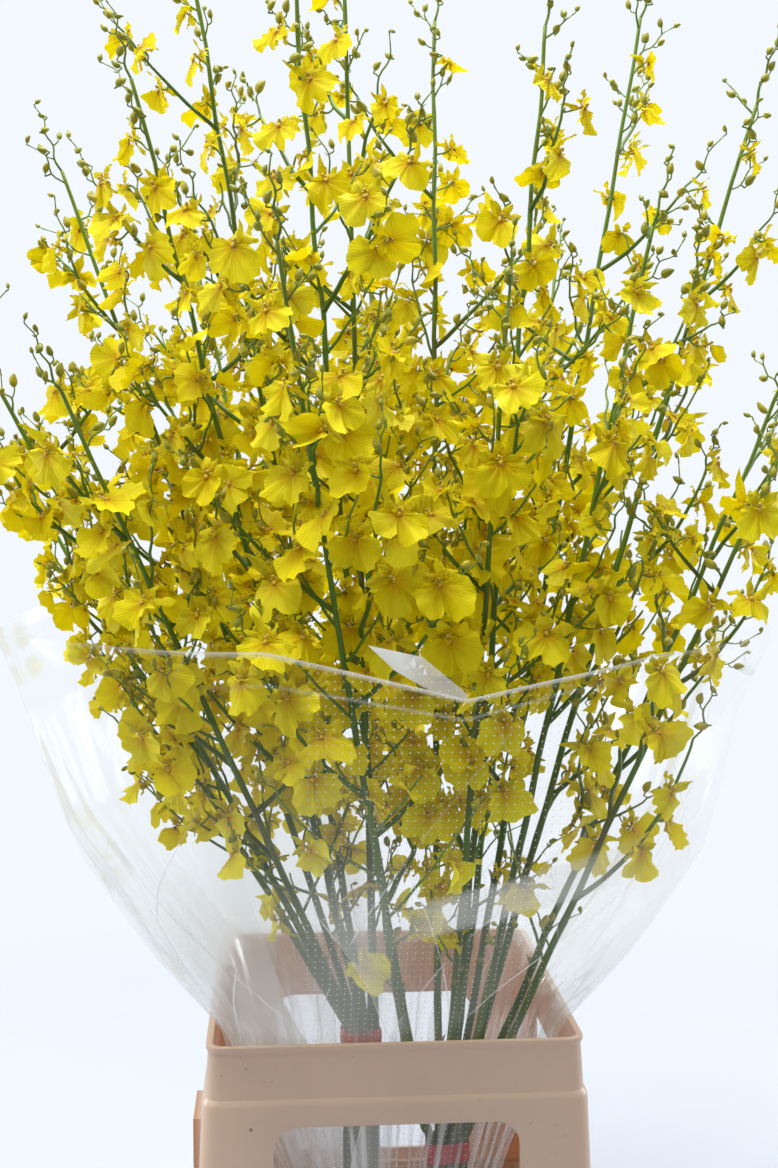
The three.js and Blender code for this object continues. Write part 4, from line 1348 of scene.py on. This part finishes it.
def film_point(angle, z, folds, phase):
    """A point of the film, deeply pleated where it is squeezed through the collar, with long folds above."""
    r = sleeve_radius(angle, z)
    share = (z - COLLAR_TOP) / (SLEEVE_TOP - COLLAR_TOP)
    pleat = 0.5 + 0.5 * sin(23 * angle + phase[0] + 1.3 * sin(5 * angle) + z / 90)
    fine = 0.5 + 0.5 * sin(41 * angle + phase[1] + 2 * sin(3 * angle) - z / 60)
    squeezed = limit(1 - (z - COLLAR_TOP - 6) / 26, 0, 1)
    r -= squeezed * (1.2 + 4.5 * (0.62 * pleat + 0.38 * fine))
    if squeezed < 1:
        for neck, top, height, width, fade in folds:
            off = abs(turn_between(angle, mix(neck, top, limit(share, 0, 1))))
            if off < width:
                r += (1 - squeezed) * height * (1 - off / width) * limit(1.6 - share / fade, 0, 1)
        r -= (1 - squeezed) * 1.5
    return np.array([r * cos(angle), max(r * sin(angle), LOW[1] - FILM_OVER), z])


def top_edge(angle):
    """The height of the cut edge, which falls in a V a little right of the front."""
    front = max(1 - abs(angle - FRONT - 0.11) / 0.42, 0)
    wave = 2.5 * sin(3 * angle + 1) + 1.5 * sin(7 * angle)
    return SLEEVE_TOP + 8 - SLEEVE_DIP * front + wave * (1 - front)


def make_film(material):
    phase = np.random.default_rng(6).uniform(0, tau, 3)
    folds = make_folds()
    build = Build()
    points, grow = [], []
    for r in range(FILM_ROWS):
        share = r / (FILM_ROWS - 1)
        for c in range(FILM_COLUMNS):
            a = tau * c / FILM_COLUMNS
            z = mix(SLEEVE[0][0], top_edge(a), share)
            points.append(film_point(a, z, folds, phase))
            grow.append((turn_between(a, FRONT), (z - COLLAR_TOP) * MM, share))
    build.add(points, grid_faces(FILM_ROWS, FILM_COLUMNS), grow=grow)
    flap = []
    for x, z, out in FLAP:
        a = FRONT + x / SLEEVE[-1][1]
        flap.append(around(a) * (sleeve_radius(a, min(z, SLEEVE_TOP)) + out) + UP * z)
    build.add(flap, [(0, 1, 4, 3), (1, 2, 5, 4)], grow=(0, 0, FLAP_RIM))
    place(build.mesh("sleeve_film", [material]), "sleeve")


# ---- all of it

sprays = grow_bunch()
fill_bunch(sprays)
petals = [petal_material("lip"), callus_material(), column_material(), petal_material("tepal", tepal=True)]
greens = [stem_material(), bud_material(), bract_material()]
for s in sprays:
    make_spray(s, greens, petals)
make_container(plastic_material())
band_red = band_material()
for bundle, (_, band_top) in BUNDLES.items():
    make_band(bundle, band_top, [s for s in sprays if s["bundle"] == bundle], band_red)
make_film(film_material())
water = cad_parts["water"]
water.data.materials.clear()
water.data.materials.append(water_material())

# ---- floor, light and camera

scene = bpy.context.scene
scene.view_settings.view_transform = "Standard"
scene.view_settings.look = "None"


def aim(made, at, direction):
    made.location = at
    made.rotation_euler = Vector(direction).to_track_quat("-Z", "Y").to_euler()


def make_floor():
    """A pale round floor, just under the part, which fades into the backdrop."""
    mesh = bpy.data.meshes.new("floor")
    ring = [(1.5 * cos(a), 1.5 * sin(a), -0.0005) for a in circle(64)]
    mesh.from_pydata(ring, [], [tuple(range(64))])
    s = Shader("floor")
    base = s.mix(s.blots(3, (0.3, 0.0), (0.7, 1.0)), "b5bac3", "b7bcc5")
    pale = s.principled(base, 0.9, 0.1)
    far = s.node("VectorMath", {0: s.place()}, out=1, operation="LENGTH")
    fade = s.ramp(s.times(far, 0.1), (0.03, 0.0), (0.13, 1.0))
    mesh.materials.append(s.done(s.blend(fade, pale, s.node("BsdfTransparent"))))
    floor = new_object("floor", mesh)


def make_world():
    """The backdrop glows, and the side of the room behind the camera is dimmer."""
    world = bpy.data.worlds.new("studio")
    world.use_nodes = True
    scene.world = world
    tree = world.node_tree
    backdrop = tree.nodes["Background"]
    backdrop.inputs[0].default_value = (0.9, 0.945, 1.0, 1)
    way, along, dim = (tree.nodes.new("ShaderNode" + kind) for kind in ("TexCoord", "VectorMath", "MapRange"))
    along.operation = "DOT_PRODUCT"
    along.inputs[1].default_value = (0, 1, 0.5)
    tree.links.new(way.outputs[0], along.inputs[0])
    tree.links.new(along.outputs[1], dim.inputs[0])
    for socket, value in zip(dim.inputs[1:5], (-0.6, 0.25, 0.34, 1.0)):
        socket.default_value = value
    tree.links.new(dim.outputs[0], backdrop.inputs[1])


def add_light(name, at, size, power, target=(0, 0, 0.65)):
    light = bpy.data.lights.new(name, "AREA")
    light.shape, light.size, light.energy = "DISK", size, power
    aim(new_object(name, light), at, Vector(target) - Vector(at))


make_floor()
make_world()
add_light("key", (-0.9, -0.8, 2.9), 0.9, 50)
add_light("top", (0.3, 0.4, 2.6), 1.2, 40)
for name, side in (("left", -1), ("right", 1)):
    add_light(name, (side * 1.6, 0.5, 0.7), 0.9, 8, target=(0, 0, 0.5))

camera = new_object("camera", bpy.data.cameras.new("camera"))
camera.data.sensor_width, camera.data.lens = 36, 45
camera.data.clip_end = 100
pitch = radians(3.55)
aim(camera, (-0.0694, -1.005, 0.672), (0.0724 * cos(pitch), 0.9974 * cos(pitch), -sin(pitch)))
scene.camera = camera
